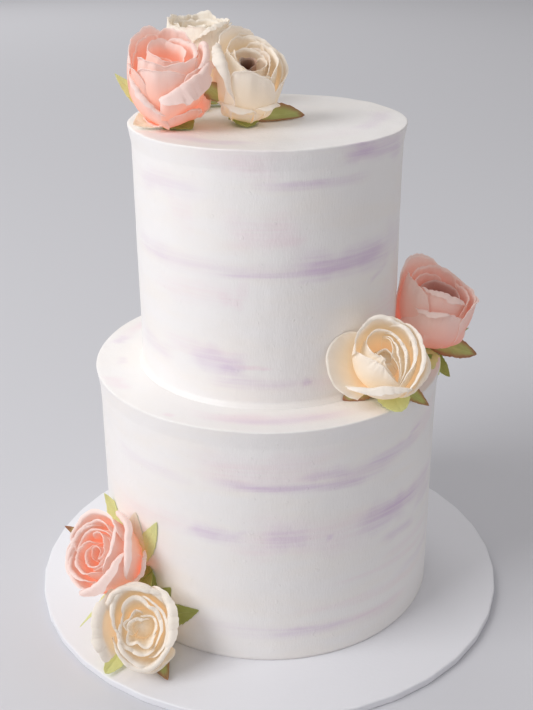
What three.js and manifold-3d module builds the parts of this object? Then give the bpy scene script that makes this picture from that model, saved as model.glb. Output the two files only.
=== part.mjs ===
// A two-tier round celebration cake on its wrapped board, dressed with seven fabric roses.
//
// Units are millimetres and +Z is up. The origin is the centre of the board's underside, and -Y is the
// cake's front. Every rose is built in a frame of its own, which starts at the foot of the bloom and has
// +Z along the bloom's axis, and is then set against the tier or the board that carries it.

import * as THREE from "three";
import { mergeVertices } from "three/addons/utils/BufferGeometryUtils.js";
import Module from "manifold-3d";

const wasm = await Module();
wasm.setup();

const INCH = 25.4;
const DEG = Math.PI / 180;

// Clear space between a rose, its leaves, and whatever they press against.
const GAP = 0.3;

// ---- Driving dimensions ---------------------------------------------------------------------------------

// A stock 12 inch masonite board. Its foil wrap is pulled tight over the rim in short straight facets.
const BOARD = { radius: 6 * INCH, thickness: 5, edge: 0.6, facets: 38 };

// Each tier is a stock round cake under a coat of buttercream, scraped smooth. The scraper leaves a slight
// waist and pushes a thin crest out at the top edge. The foot is either cut clean or filled out where it
// meets the tier below.
const TIER_SIDES = 36;
const LOWER_TIER = {
  radius: 4 * INCH + 3.9,
  base: BOARD.thickness,
  height: 155,
  foot: -0.8,
  footRise: 1.2,
  waist: 0.6,
  crest: 1.1,
};
const UPPER_TIER = {
  radius: 3 * INCH + 1.8,
  base: LOWER_TIER.base + LOWER_TIER.height,
  height: 145.5,
  foot: 2.2,
  footRise: 3,
  waist: 0.4,
  crest: 1.5,
};
const WAIST_DROP = 25.6;
const CREST_DROP = 11.2;
const CREST_EDGE = 0.8;

// Petals and leaves are cut from cloth. They are made thicker here than the cloth so that they stay firm
// solids.
const PETAL_THICK = [1.5, 0.9];
const LEAF_THICK = [1.3, 0.7];

// The cut of a petal, as shares of its length and of its greatest half width. neck is its width at the
// foot, and it is widest at the share widest of its length. corner says how squarely its end is cut.
const PETAL_CUT = { neck: 0.4, widest: 0.6, end: 0.72, beyond: 1.06, corner: 2.6 };

// Where a petal has stopped bending up out of its foot, as a share of its length.
const BOWL_END = 0.58;

// How closely a petal may wrap the heart: its least radius, the tightest bend as a share of its half
// width, and the greatest turn in radians. Its tucked side moves in between two shares of its length.
const WRAP = { nearest: 0.8, tightest: 0.45, turn: 2.7, tuckFrom: 0.1, tuckTo: 0.5 };

// The cut of a leaf, as shares like those of a petal, and the depth of its fold and of the waves along it.
const LEAF_CUT = { stem: 0.1, belly: 0.8, point: 0.9, fold: 0.22, wave: 0.5, waves: 7 };

const COLOURS = {
  icing: 0xf4f1f1,
  wrap: 0xe9e9ee,
  blush: 0xf6bfb2,
  dusk: 0xdf9f97,
  cream: 0xf3dfc2,
  ivory: 0xf3e8cf,
  leaf: 0x94a156,
};

// ---- Solids ---------------------------------------------------------------------------------------------

// A closed geometry as a solid that can be joined and cut.
function solidOf(geometry) {
  const bare = new THREE.BufferGeometry().setAttribute("position", geometry.getAttribute("position"));
  bare.setIndex(geometry.index);
  const merged = mergeVertices(bare, 1e-4);
  return new wasm.Manifold(
    new wasm.Mesh({
      numProp: 3,
      vertProperties: new Float32Array(merged.attributes.position.array),
      triVerts: new Uint32Array(merged.index.array),
    }),
  );
}

// A solid as a geometry with flat faces.
function geometryOf(solid) {
  const mesh = solid.getMesh();
  const corners = new Float32Array(mesh.numVert * 3);
  for (let i = 0; i < mesh.numVert; i++) {
    corners.set(mesh.vertProperties.subarray(i * mesh.numProp, i * mesh.numProp + 3), i * 3);
  }
  const geometry = new THREE.BufferGeometry();
  geometry.setAttribute("position", new THREE.BufferAttribute(corners, 3));
  geometry.setIndex(new THREE.BufferAttribute(new Uint32Array(mesh.triVerts), 1));
  geometry.computeVertexNormals();
  return geometry;
}

// What is left of a cut piece once loose scraps are dropped.
function largestBody(solid) {
  return solid.decompose().reduce((best, body) => (body.volume() > best.volume() ? body : best));
}

// A solid of revolution about Z from a profile of [radius, height] pairs that starts and ends on the axis.
function turned(profile, sides) {
  const outline = profile.map(([radius, height]) => new THREE.Vector2(radius, height));
  return new THREE.LatheGeometry(outline, sides).rotateX(Math.PI / 2);
}

// A thin closed sheet round the surface that point(u, v) gives, with u from -1 to 1 across and v from 0 to
// 1 up. Both faces are split into triangles alike, and the sheet is thinner at its rim than at its foot.
function plainSheet(point, shape, grow) {
  const { across, up, start, thick } = shape;
  const step = 1e-3;
  const corners = [];
  for (const side of [1, -1]) {
    for (let j = 0; j <= up; j++) {
      for (let i = 0; i <= across; i++) {
        const u = (2 * i) / across - 1;
        const v = mix(start, 1, j / up);
        const alongU = point(u + step, v).sub(point(u - step, v));
        const alongV = point(u, v + step).sub(point(u, v - step));
        const normal = alongU.cross(alongV).normalize();
        const half = mix(thick[0], thick[1], v) / 2 + grow;
        corners.push(point(u, v).addScaledVector(normal, side * half));
      }
    }
  }
  const row = across + 1;
  const back = row * (up + 1);
  const faces = [];
  for (let j = 0; j < up; j++) {
    for (let i = 0; i < across; i++) {
      const a = j * row + i;
      faces.push(a, a + 1, a + row, a + 1, a + row + 1, a + row);
      faces.push(back + a, back + a + row, back + a + 1, back + a + 1, back + a + row, back + a + row + 1);
    }
  }
  const rim = [];
  for (let i = 0; i < across; i++) rim.push(i);
  for (let j = 0; j < up; j++) rim.push(j * row + across);
  for (let i = across; i > 0; i--) rim.push(up * row + i);
  for (let j = up; j > 0; j--) rim.push(j * row);
  rim.forEach((a, k) => {
    const b = rim[(k + 1) % rim.length];
    faces.push(a, back + a, b, b, back + a, back + b);
  });
  const geometry = new THREE.BufferGeometry().setFromPoints(corners);
  geometry.setIndex(faces);
  return solidOf(geometry);
}

// The sheet round the surface that pointOf(0) gives, with grow more all round it. Growing wider can carry
// a rolled rim off its place, so that the sheet that only grew thicker is joined to it.
function sheet(pointOf, shape, grow) {
  const thickened = plainSheet(pointOf(0), shape, grow);
  return grow > 0 ? thickened.add(plainSheet(pointOf(grow), shape, grow)) : thickened;
}

// ---- Board and tiers ------------------------------------------------------------------------------------

function boardGeometry(grow = 0) {
  const { radius, thickness, edge, facets } = BOARD;
  return turned(
    [
      [0, 0],
      [radius + grow, 0],
      [radius + grow, thickness + grow - edge],
      [radius + grow - edge, thickness + grow],
      [0, thickness + grow],
    ],
    facets,
  );
}

function tierGeometry(tier, grow = 0) {
  const radius = tier.radius + grow;
  const top = tier.base + tier.height + grow;
  return turned(
    [
      [0, tier.base],
      [radius + tier.foot, tier.base],
      [radius, tier.base + tier.footRise],
      [radius - tier.waist, top - WAIST_DROP],
      [radius - tier.waist / 2, top - CREST_DROP],
      [radius + tier.crest, top - CREST_EDGE],
      [radius + tier.crest - CREST_EDGE, top],
      [0, top],
    ],
    TIER_SIDES,
  );
}

// ---- Petals and leaves ----------------------------------------------------------------------------------

const mix = (from, to, share) => from + (to - from) * share;

function smooth(from, to, value) {
  const share = THREE.MathUtils.clamp((value - from) / (to - from), 0, 1);
  return share * share * (3 - 2 * share);
}

// Half the width of a petal at share v of its length, as a share of its greatest half width.
function petalOutline(v) {
  const { neck, widest, end, beyond } = PETAL_CUT;
  if (v >= widest) return mix(1, end, smooth(widest, beyond, v));
  return mix(neck, 1, Math.sin(((v / widest) * Math.PI) / 2));
}

// Half the width of a leaf at share v of its length, as a share of its greatest half width.
function leafOutline(v) {
  const { stem, belly, point } = LEAF_CUT;
  const along = Math.pow(THREE.MathUtils.clamp(v, 0, 1), belly);
  return mix(stem, 1, Math.pow(Math.sin(Math.PI * along), point));
}

// How far a strip of cloth has gone out and up at distance along it, when it leaves foot leaning from the
// axis by angle(share) degrees at each share of that distance.
function run(foot, distance, angle) {
  const steps = 12;
  let radius = foot.radius;
  let height = foot.height;
  for (let i = 0; i < steps; i++) {
    const lean = angle((i + 0.5) / steps) * DEG;
    radius += (Math.sin(lean) * distance) / steps;
    height += (Math.cos(lean) * distance) / steps;
  }
  return { radius, height };
}

// The cupped form of a petal before its rim is turned back, at x across and y up the flat cloth. It leaves
// its foot at the angle bowl and stands at the angle lean. One of its sides is tucked nearer the axis than
// the other.
function cupped(petal, x, y) {
  const { turn, halfWidth, length, lean, bowl, tuck, foot } = petal;
  const angle = (share) => mix(bowl, lean, smooth(0, BOWL_END, (share * y) / length));
  const at = run(foot, y, angle);
  const slope = angle(1) * DEG;
  const push = ((tuck * x) / halfWidth) * smooth(WRAP.tuckFrom, WRAP.tuckTo, y / length);
  const radius = Math.max(at.radius + push * Math.cos(slope), WRAP.nearest);
  const wrapped = x / Math.max(at.radius, WRAP.tightest * halfWidth);
  const azimuth = turn * DEG + THREE.MathUtils.clamp(wrapped, -WRAP.turn, WRAP.turn);
  const height = at.height - push * Math.sin(slope);
  return new THREE.Vector3(radius * Math.cos(azimuth), radius * Math.sin(azimuth), height);
}

// One petal. What lies beyond its fold line is turned back over a roll. The fold line crosses the flat
// cloth at the share fold of its length, and it slants, and drops at the sides as an arch does.
function petalPoint(petal, grow) {
  const { halfWidth, length, drop, fold, slant, arch, roll } = petal;
  return (u, v) => {
    const x = u * (halfWidth * petalOutline(v) + grow);
    const y = v * (length * (1 - drop * Math.pow(Math.abs(u), PETAL_CUT.corner)) + grow);
    const slope = slant - (2 * arch * x) / halfWidth;
    const steep = Math.hypot(1, slope);
    const beyond = (y - fold * length - slant * x + (arch * x * x) / halfWidth) / steep;
    if (beyond <= 0) return cupped(petal, x, y);
    const across = -slope / steep;
    const up = 1 / steep;
    const footX = x - beyond * across;
    const footY = y - beyond * up;
    const onward = cupped(petal, footX + 0.5 * across, footY + 0.5 * up);
    onward.sub(cupped(petal, footX - 0.5 * across, footY - 0.5 * up)).normalize();
    const sideways = cupped(petal, footX + 0.5 * up, footY - 0.5 * across);
    sideways.sub(cupped(petal, footX - 0.5 * up, footY + 0.5 * across)).normalize();
    const outward = sideways.cross(onward).normalize();
    const turned = beyond / roll;
    return cupped(petal, footX, footY)
      .addScaledVector(onward, roll * Math.sin(turned))
      .addScaledVector(outward, roll * (1 - Math.cos(turned)));
  };
}

// One leaf of the calyx, folded a little along its midrib, with a slow wave along its length and a twist
// at its tip.
function leafPoint(leaf, grow) {
  const { turn, halfWidth, length, lean, curl, twist } = leaf;
  return (u, v) => {
    const at = run(LEAF_FOOT, (length + grow) * v, (share) => lean + curl * share * v);
    const side = u * (halfWidth * leafOutline(v) + grow);
    const turned = twist * DEG * v;
    const fold = LEAF_CUT.wave * Math.sin(LEAF_CUT.waves * v + turn) - LEAF_CUT.fold * Math.abs(side);
    const slope = (lean + curl * v) * DEG;
    const outward = at.radius - (side * Math.sin(turned) + fold) * Math.cos(slope);
    const height = at.height + (side * Math.sin(turned) + fold) * Math.sin(slope);
    const azimuth = turn * DEG;
    const along = side * Math.cos(turned);
    return new THREE.Vector3(
      outward * Math.cos(azimuth) - along * Math.sin(azimuth),
      outward * Math.sin(azimuth) + along * Math.cos(azimuth),
      height,
    );
  };
}

// ---- Roses ----------------------------------------------------------------------------------------------

// Sizes of a rose of size 1. The packed hip rises to a pointed heart. Inner and middle petals stand round
// the heart, and then come the outer petals, which each rose lists for itself. Every petal starts inside
// the hip, at the share start of its length.
const HIP = { share: 0.48, over: 1.7, heart: 23, sides: 8 };
const PLAIN = { thick: PETAL_THICK, drop: 0.22, fold: 2, slant: 0, arch: 0, roll: 4 };
const INNER = {
  ...PLAIN,
  across: 3,
  up: 1,
  start: 0.45,
  halfWidth: 11,
  length: 27,
  bowl: 30,
  lean: -8,
  tuck: 1.6,
  foot: { radius: 3.5, height: 4 },
};
const MIDDLE = {
  ...PLAIN,
  across: 3,
  up: 2,
  start: 0.4,
  halfWidth: 17,
  length: 34,
  bowl: 44,
  lean: -2,
  tuck: 1.4,
  foot: { radius: 3.5, height: 2.4 },
};
const OUTER = {
  ...PLAIN,
  across: 4,
  up: 2,
  start: 0.42,
  halfWidth: 18,
  length: 42,
  bowl: 66,
  lean: -3,
  tuck: 2.2,
  foot: { radius: 3.5, height: 0.4 },
};
const INNER_COUNT = 2;
const MIDDLE_COUNT = 3;
const CUP = { radius: 4.5, under: 2.7, depth: 3.6, sides: 5 };
const LEAF_FOOT = { radius: 2.4, height: -2.1 };
const LEAF = { thick: LEAF_THICK, across: 2, start: 0 };
const LONG_LEAF = 32;

// turn is the place of a petal or a leaf round the bloom, counted in degrees from the bloom's own +X.
const outer = (turn, change = {}) => ({ ...OUTER, turn, ...change });
const rolled = (turn, fold, slant, change = {}) => outer(turn, { up: 3, fold, slant, ...change });
const leaf = (turn, halfWidth, length, lean, curl, twist = 0) => {
  const up = length > LONG_LEAF ? 3 : 2;
  return { ...LEAF, up, turn, halfWidth, length, lean, curl, twist };
};

// foot is where the bloom starts. heading and rise aim its axis: heading is a compass angle from +X in
// plan, and rise is its slope above the level. hand says which side of each petal lies outside its
// neighbour, and spin turns the inner and middle petals.
const ROSES = [
  {
    name: "upper_pink",
    colour: COLOURS.blush,
    foot: [-55.4, -17.1, 309.6],
    heading: -81,
    rise: 70,
    size: 1.14,
    hand: -1,
    spin: 0,
    petals: [
      outer(-108, { length: 34 }),
      rolled(-48, 0.7, 0.6, { length: 40, lean: 2 }),
      rolled(12, 0.84, 0.3, { length: 41, lean: 2 }),
      outer(72, { length: 45 }),
      outer(132, { length: 45 }),
      outer(-168, { length: 40, lean: 2 }),
    ],
    leaves: [
      leaf(-46, 5, 22, 80, 4),
      leaf(-140, 6, 21, 84, 0),
      leaf(146, 5, 38, 74, -6),
      leaf(60, 5, 26, 88, 0),
    ],
  },
  {
    name: "upper_cream",
    colour: COLOURS.cream,
    foot: [-15, -5.8, 309.2],
    heading: -66,
    rise: 64,
    size: 1.08,
    hand: 1,
    spin: 30,
    petals: [
      outer(-84, { length: 35 }),
      rolled(-144, 0.76, -0.5, { length: 42, lean: 2 }),
      outer(-24, { length: 40, lean: 2 }),
      outer(36, { length: 43 }),
      outer(96, { length: 47 }),
      outer(156, { length: 45 }),
    ],
    leaves: [
      leaf(-162, 5.5, 34, 50, 4),
      leaf(-76, 5.5, 21, 70, 4),
      leaf(-19, 8, 39, 73, -2, 40),
      leaf(85, 5, 24, 88, 4),
    ],
  },
  {
    name: "upper_ivory",
    colour: COLOURS.ivory,
    foot: [-40.8, 34.3, 310],
    heading: 60,
    rise: 86,
    size: 1.2,
    hand: 1,
    spin: 65,
    petals: [-126, -54, 18, 90, 162].map((turn) => outer(turn, { length: 46, fold: 0.9, lean: 2 })),
    leaves: [
      leaf(20, 5, 28, 84, 6),
      leaf(92, 5, 30, 82, 8),
      leaf(165, 5, 28, 84, 6),
      leaf(-90, 5, 24, 88, 2),
    ],
  },
  {
    name: "ledge_pink",
    colour: COLOURS.dusk,
    foot: [98.3, 2, 164.6],
    heading: -60,
    rise: 75,
    size: 1.24,
    hand: 1,
    spin: 15,
    petals: [
      outer(-128, { length: 40 }),
      rolled(-50, 0.78, -0.3, { length: 37 }),
      outer(-88, { length: 29, lean: 6 }),
      outer(136, { length: 48 }),
      outer(72, { length: 45 }),
      outer(8, { length: 41, lean: 6 }),
    ],
    leaves: [
      leaf(-40, 6.5, 36, 72, 4),
      leaf(-62, 5, 27, 106, 16),
      leaf(136, 5, 42, 56, -12),
      leaf(30, 5, 32, 84, 4),
      leaf(-110, 5, 27, 98, 10),
    ],
  },
  {
    name: "ledge_cream",
    colour: COLOURS.cream,
    foot: [65.2, -55.6, 171.2],
    heading: -93,
    rise: 40,
    size: 1.2,
    hand: -1,
    spin: 100,
    petals: [
      outer(180, { length: 43, lean: 20 }),
      rolled(-98, 0.8, 0, { length: 37 }),
      outer(-40, { length: 40 }),
      outer(16, { length: 41, lean: 3 }),
      outer(70, { length: 41 }),
      outer(124, { length: 41 }),
    ],
    leaves: [
      leaf(-74, 8, 31, 60, -2),
      leaf(-147, 6, 27, 82, 2),
      leaf(-45, 5, 36, 76, -2),
      leaf(48, 6, 30, 70, 6),
      leaf(84, 5, 29, 80, -4),
    ],
  },
  {
    name: "foot_pink",
    colour: COLOURS.blush,
    foot: [-84.3, -68.1, 47.8],
    heading: -134,
    rise: 40,
    size: 1.26,
    hand: 1,
    spin: 40,
    petals: [
      rolled(4, 0.76, -0.2, { lean: 2 }),
      rolled(-60, 0.76, -0.3, { lean: 4 }),
      outer(-120, { length: 41, lean: 2 }),
      outer(178, { length: 41 }),
      outer(120, { length: 46 }),
      outer(62, { length: 45 }),
    ],
    leaves: [
      leaf(100, 6, 48, 56, 12),
      leaf(143, 6, 48, 54, -6),
      leaf(42, 8, 45, 50, 6),
      leaf(14, 6, 50, 52, 4),
      leaf(-122, 5, 48, 62, 6, 40),
    ],
  },
  {
    name: "foot_cream",
    colour: COLOURS.cream,
    foot: [-77.2, -84.6, 16.9],
    heading: -84,
    rise: 36,
    size: 1.26,
    hand: -1,
    spin: 75,
    petals: [
      rolled(182, 0.82, 0, { length: 41, lean: 2 }),
      rolled(0, 0.82, 0.2, { length: 40 }),
      outer(60, { length: 42 }),
      outer(120, { length: 43 }),
      outer(-62, { length: 43, lean: 2 }),
      outer(-122, { length: 43, lean: 2 }),
    ],
    leaves: [
      leaf(15, 8, 45, 74, 4, 30),
      leaf(58, 6, 36, 86, -34),
      leaf(-59, 7, 45, 60, -10),
      leaf(-122, 7, 40, 64, -12),
    ],
  },
];

// All petals of one rose at its own size.
function petalsOf(rose) {
  const ring = (layer, count, first) =>
    Array.from({ length: count }, (_, k) => ({ ...layer, turn: rose.spin + first + (k * 360) / count }));
  const all = [...ring(INNER, INNER_COUNT, 0), ...ring(MIDDLE, MIDDLE_COUNT, 70), ...rose.petals];
  return all.map((each) => ({
    ...each,
    tuck: each.tuck * rose.hand * rose.size,
    halfWidth: each.halfWidth * rose.size,
    length: each.length * rose.size,
    foot: { radius: each.foot.radius * rose.size, height: each.foot.height * rose.size },
  }));
}

// The packed heart and hip of a rose, which every petal stands in. Its side follows the outer petals'
// lower part.
function hipGeometry(rose, grow) {
  const angle = (share) => mix(OUTER.bowl, OUTER.lean, smooth(0, BOWL_END, share));
  const side = (share) => run(OUTER.foot, OUTER.length * share, (at) => angle(at * share));
  const belly = side(HIP.share / 2);
  const brim = side(HIP.share);
  const sized = (radius, height) => [radius * rose.size + grow, height * rose.size];
  const [[bellyRadius, bellyHeight], [brimRadius, brimHeight]] = [belly, brim].map(({ radius, height }) =>
    sized(radius + HIP.over, height - HIP.over / 2),
  );
  return turned(
    [
      [0, -grow],
      [bellyRadius, bellyHeight - grow],
      [brimRadius, brimHeight + grow],
      [0, HIP.heart * rose.size + grow],
    ],
    HIP.sides,
  );
}

// The bloom of one rose: its hip and its petals, joined.
function bloomSolid(rose, grow = 0) {
  const petals = petalsOf(rose).map((each) => sheet((wider) => petalPoint(each, wider), each, grow));
  return petals.reduce((joined, each) => joined.add(each), solidOf(hipGeometry(rose, grow)));
}

// The green calyx under one rose: a small cup with five leaves.
function calyxSolid(rose, grow = 0) {
  const cup = turned(
    [
      [0, -CUP.depth - grow],
      [CUP.under + grow, -CUP.depth - grow],
      [CUP.radius + grow, -GAP + grow],
      [0, -GAP + grow],
    ],
    CUP.sides,
  );
  const leaves = rose.leaves.map((each) => sheet((wider) => leafPoint(each, wider), each, grow));
  return leaves.reduce((joined, each) => joined.add(each), solidOf(cup));
}

// The frame of a rose in the cake's frame. Its +X lies as near the cake's +X as the bloom's axis allows.
function roseFrame(rose) {
  const level = Math.cos(rose.rise * DEG);
  const axis = new THREE.Vector3(
    level * Math.cos(rose.heading * DEG),
    level * Math.sin(rose.heading * DEG),
    Math.sin(rose.rise * DEG),
  );
  const side = new THREE.Vector3(1, 0, 0).addScaledVector(axis, -axis.x).normalize();
  const frame = new THREE.Matrix4().makeBasis(side, axis.clone().cross(side), axis);
  return frame.setPosition(...rose.foot);
}

// ---- The cake -------------------------------------------------------------------------------------------

function material(colour, roughness) {
  return new THREE.MeshStandardMaterial({ color: colour, roughness, metalness: 0, flatShading: true });
}

function named(name, geometry, look) {
  const mesh = new THREE.Mesh(geometry, look);
  mesh.name = name;
  return mesh;
}

const cake = new THREE.Group();
cake.add(named("board", geometryOf(solidOf(boardGeometry())), material(COLOURS.wrap, 0.5)));
cake.add(named("lower_tier", geometryOf(solidOf(tierGeometry(LOWER_TIER))), material(COLOURS.icing, 0.6)));
cake.add(named("upper_tier", geometryOf(solidOf(tierGeometry(UPPER_TIER))), material(COLOURS.icing, 0.6)));

// What a rose may not enter, in the cake's frame. Every bloom and calyx joins the list once it is in
// place.
const grown = [boardGeometry(GAP), tierGeometry(LOWER_TIER, GAP), tierGeometry(UPPER_TIER, GAP)];
const taken = grown.map(solidOf);

// Cuts what is taken out of a solid that is given in a frame of its own.
function fitted(solid, frame) {
  const home = frame.clone().invert();
  const cut = taken.reduce((left, other) => left.subtract(other.transform(home.elements)), solid);
  return largestBody(cut);
}

const frames = ROSES.map(roseFrame);
const petalLook = Object.fromEntries(ROSES.map((rose) => [rose.name, material(rose.colour, 0.75)]));
const leafLook = material(COLOURS.leaf, 0.65);

const heads = ROSES.map((rose, k) => {
  const head = new THREE.Group();
  frames[k].decompose(head.position, head.quaternion, head.scale);
  cake.add(head);
  return head;
});
ROSES.forEach((rose, k) => {
  const bloom = geometryOf(fitted(bloomSolid(rose), frames[k]));
  heads[k].add(named(`rose_${rose.name}`, bloom, petalLook[rose.name]));
  taken.push(bloomSolid(rose, GAP).transform(frames[k].elements));
});
ROSES.forEach((rose, k) => {
  const calyx = geometryOf(fitted(calyxSolid(rose), frames[k]));
  heads[k].add(named(`leaves_${rose.name}`, calyx, leafLook));
  taken.push(calyxSolid(rose, GAP).transform(frames[k].elements));
});

export default cake;
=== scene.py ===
"""Dresses a two-tier celebration cake with its roses and sets it in a plain studio.

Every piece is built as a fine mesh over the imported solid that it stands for. Sizes are in millimetres until a
mesh is made, the origin is the centre of the board's underside, +Z is up and -Y is the cake's front.
"""

import logging
import math
from dataclasses import dataclass, field
from enum import Enum
from typing import Any

import bpy
import numpy as np
from mathutils import Matrix, Vector


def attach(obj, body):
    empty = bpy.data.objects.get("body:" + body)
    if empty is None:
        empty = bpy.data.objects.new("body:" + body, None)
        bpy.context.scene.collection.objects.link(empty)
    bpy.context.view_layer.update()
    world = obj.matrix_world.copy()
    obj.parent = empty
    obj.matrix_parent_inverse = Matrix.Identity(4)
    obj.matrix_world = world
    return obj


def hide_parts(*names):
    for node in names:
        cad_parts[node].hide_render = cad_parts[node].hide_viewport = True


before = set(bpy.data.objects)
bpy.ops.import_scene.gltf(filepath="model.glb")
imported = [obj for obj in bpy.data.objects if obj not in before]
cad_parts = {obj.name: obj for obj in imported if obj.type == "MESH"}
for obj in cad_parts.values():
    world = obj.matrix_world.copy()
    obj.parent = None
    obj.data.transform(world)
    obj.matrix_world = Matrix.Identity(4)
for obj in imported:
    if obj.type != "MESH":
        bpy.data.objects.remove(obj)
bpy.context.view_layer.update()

log = logging.getLogger("cake")

MM = 0.001
INCH = 25.4
TINY = 1e-6
GOLDEN_TURN = 137.5
BODY = "root"

Colour = tuple[float, float, float]
Array = np.ndarray
Material = bpy.types.Material
Knots = tuple[float, ...] | float


# ---- Small maths ----------------------------------------------------------------------------------------


def mix(low: Any, high: Any, share: Any) -> Any:
    """Blends from low to high by share."""
    return low + (high - low) * share


def smooth(low: float, high: float, value: Any) -> Any:
    """Rises softly from 0 at low to 1 at high."""
    share = np.clip((np.asarray(value, float) - low) / (high - low), 0, 1)
    return share * share * (3 - 2 * share)


def unit(vectors: Array) -> Array:
    """Scales each vector in an array to length 1."""
    return vectors / np.maximum(np.linalg.norm(vectors, axis=-1, keepdims=True), 1e-9)


def linear(red: float, green: float, blue: float) -> Colour:
    """Turns screen values from 0 to 255 into the linear colour that a shader takes.

    Args:
        red: Screen value of red.
        green: Screen value of green.
        blue: Screen value of blue.

    Returns:
        The linear colour.
    """

    def channel(value: float) -> float:
        """Turns one screen value."""
        share = value / 255
        return share / 12.92 if share <= 0.04045 else ((share + 0.055) / 1.055) ** 2.4

    return channel(red), channel(green), channel(blue)


def aimed(heading: float, rise: float) -> Vector:
    """Gives the direction with a heading from +X in plan and a rise above the level, in degrees."""
    level, heading = math.cos(math.radians(rise)), math.radians(heading)
    return Vector((level * math.cos(heading), level * math.sin(heading), math.sin(math.radians(rise))))


@dataclass(frozen=True)
class Wobble:
    """A smooth uneven wave made of a few seeded sines, about 1 high."""

    seed: int
    waves: float = 3.0
    parts: int = 4
    highest: float = 1.6

    def __call__(self, place: Any) -> Any:
        """Reads the wave.

        Args:
            place: Where to read it. The slowest sine goes round as often as waves says in each whole number.

        Returns:
            The height of the wave at each place.
        """
        draw = np.random.default_rng(self.seed)
        total = np.zeros_like(np.asarray(place, float))
        for part in range(self.parts):
            pace = self.waves * (1 + part * draw.uniform(0.6, 1.1))
            total = total + np.sin(2 * math.pi * (pace * place + draw.uniform())) / (1 + part)
        return total / self.highest


# ---- Shader expressions ---------------------------------------------------------------------------------


class Value:
    """A shader socket that takes part in Python expressions of numbers."""

    def __init__(self, graph: "Graph", socket: bpy.types.NodeSocket) -> None:
        """Keeps the socket and the node tree it belongs to."""
        self.graph = graph
        self.socket = socket

    def combine(self, operation: str, first: Any, second: Any) -> "Value":
        """Adds one Math node of that operation, with a number or a value on each socket."""
        return self.graph.node("Math", {"operation": operation}, {0: first, 1: second})

    def __add__(self, other: Any) -> "Value":
        """Adds."""
        return self.combine("ADD", self, other)

    def __radd__(self, other: Any) -> "Value":
        """Adds, from the right."""
        return self.combine("ADD", other, self)

    def __sub__(self, other: Any) -> "Value":
        """Subtracts."""
        return self.combine("SUBTRACT", self, other)

    def __rsub__(self, other: Any) -> "Value":
        """Subtracts, from the right."""
        return self.combine("SUBTRACT", other, self)

    def __mul__(self, other: Any) -> "Value":
        """Multiplies."""
        return self.combine("MULTIPLY", self, other)

    def __rmul__(self, other: Any) -> "Value":
        """Multiplies, from the right."""
        return self.combine("MULTIPLY", other, self)

    def held(self) -> "Value":
        """Keeps the value between 0 and 1."""
        return self.graph.node("Clamp", {}, {0: self})

    def ramp(self, low: float, high: float) -> "Value":
        """Rises softly from 0 at low to 1 at high."""
        settings = {"interpolation_type": "SMOOTHSTEP"}
        return self.graph.node("MapRange", settings, {0: self, 1: low, 2: high})


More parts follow.
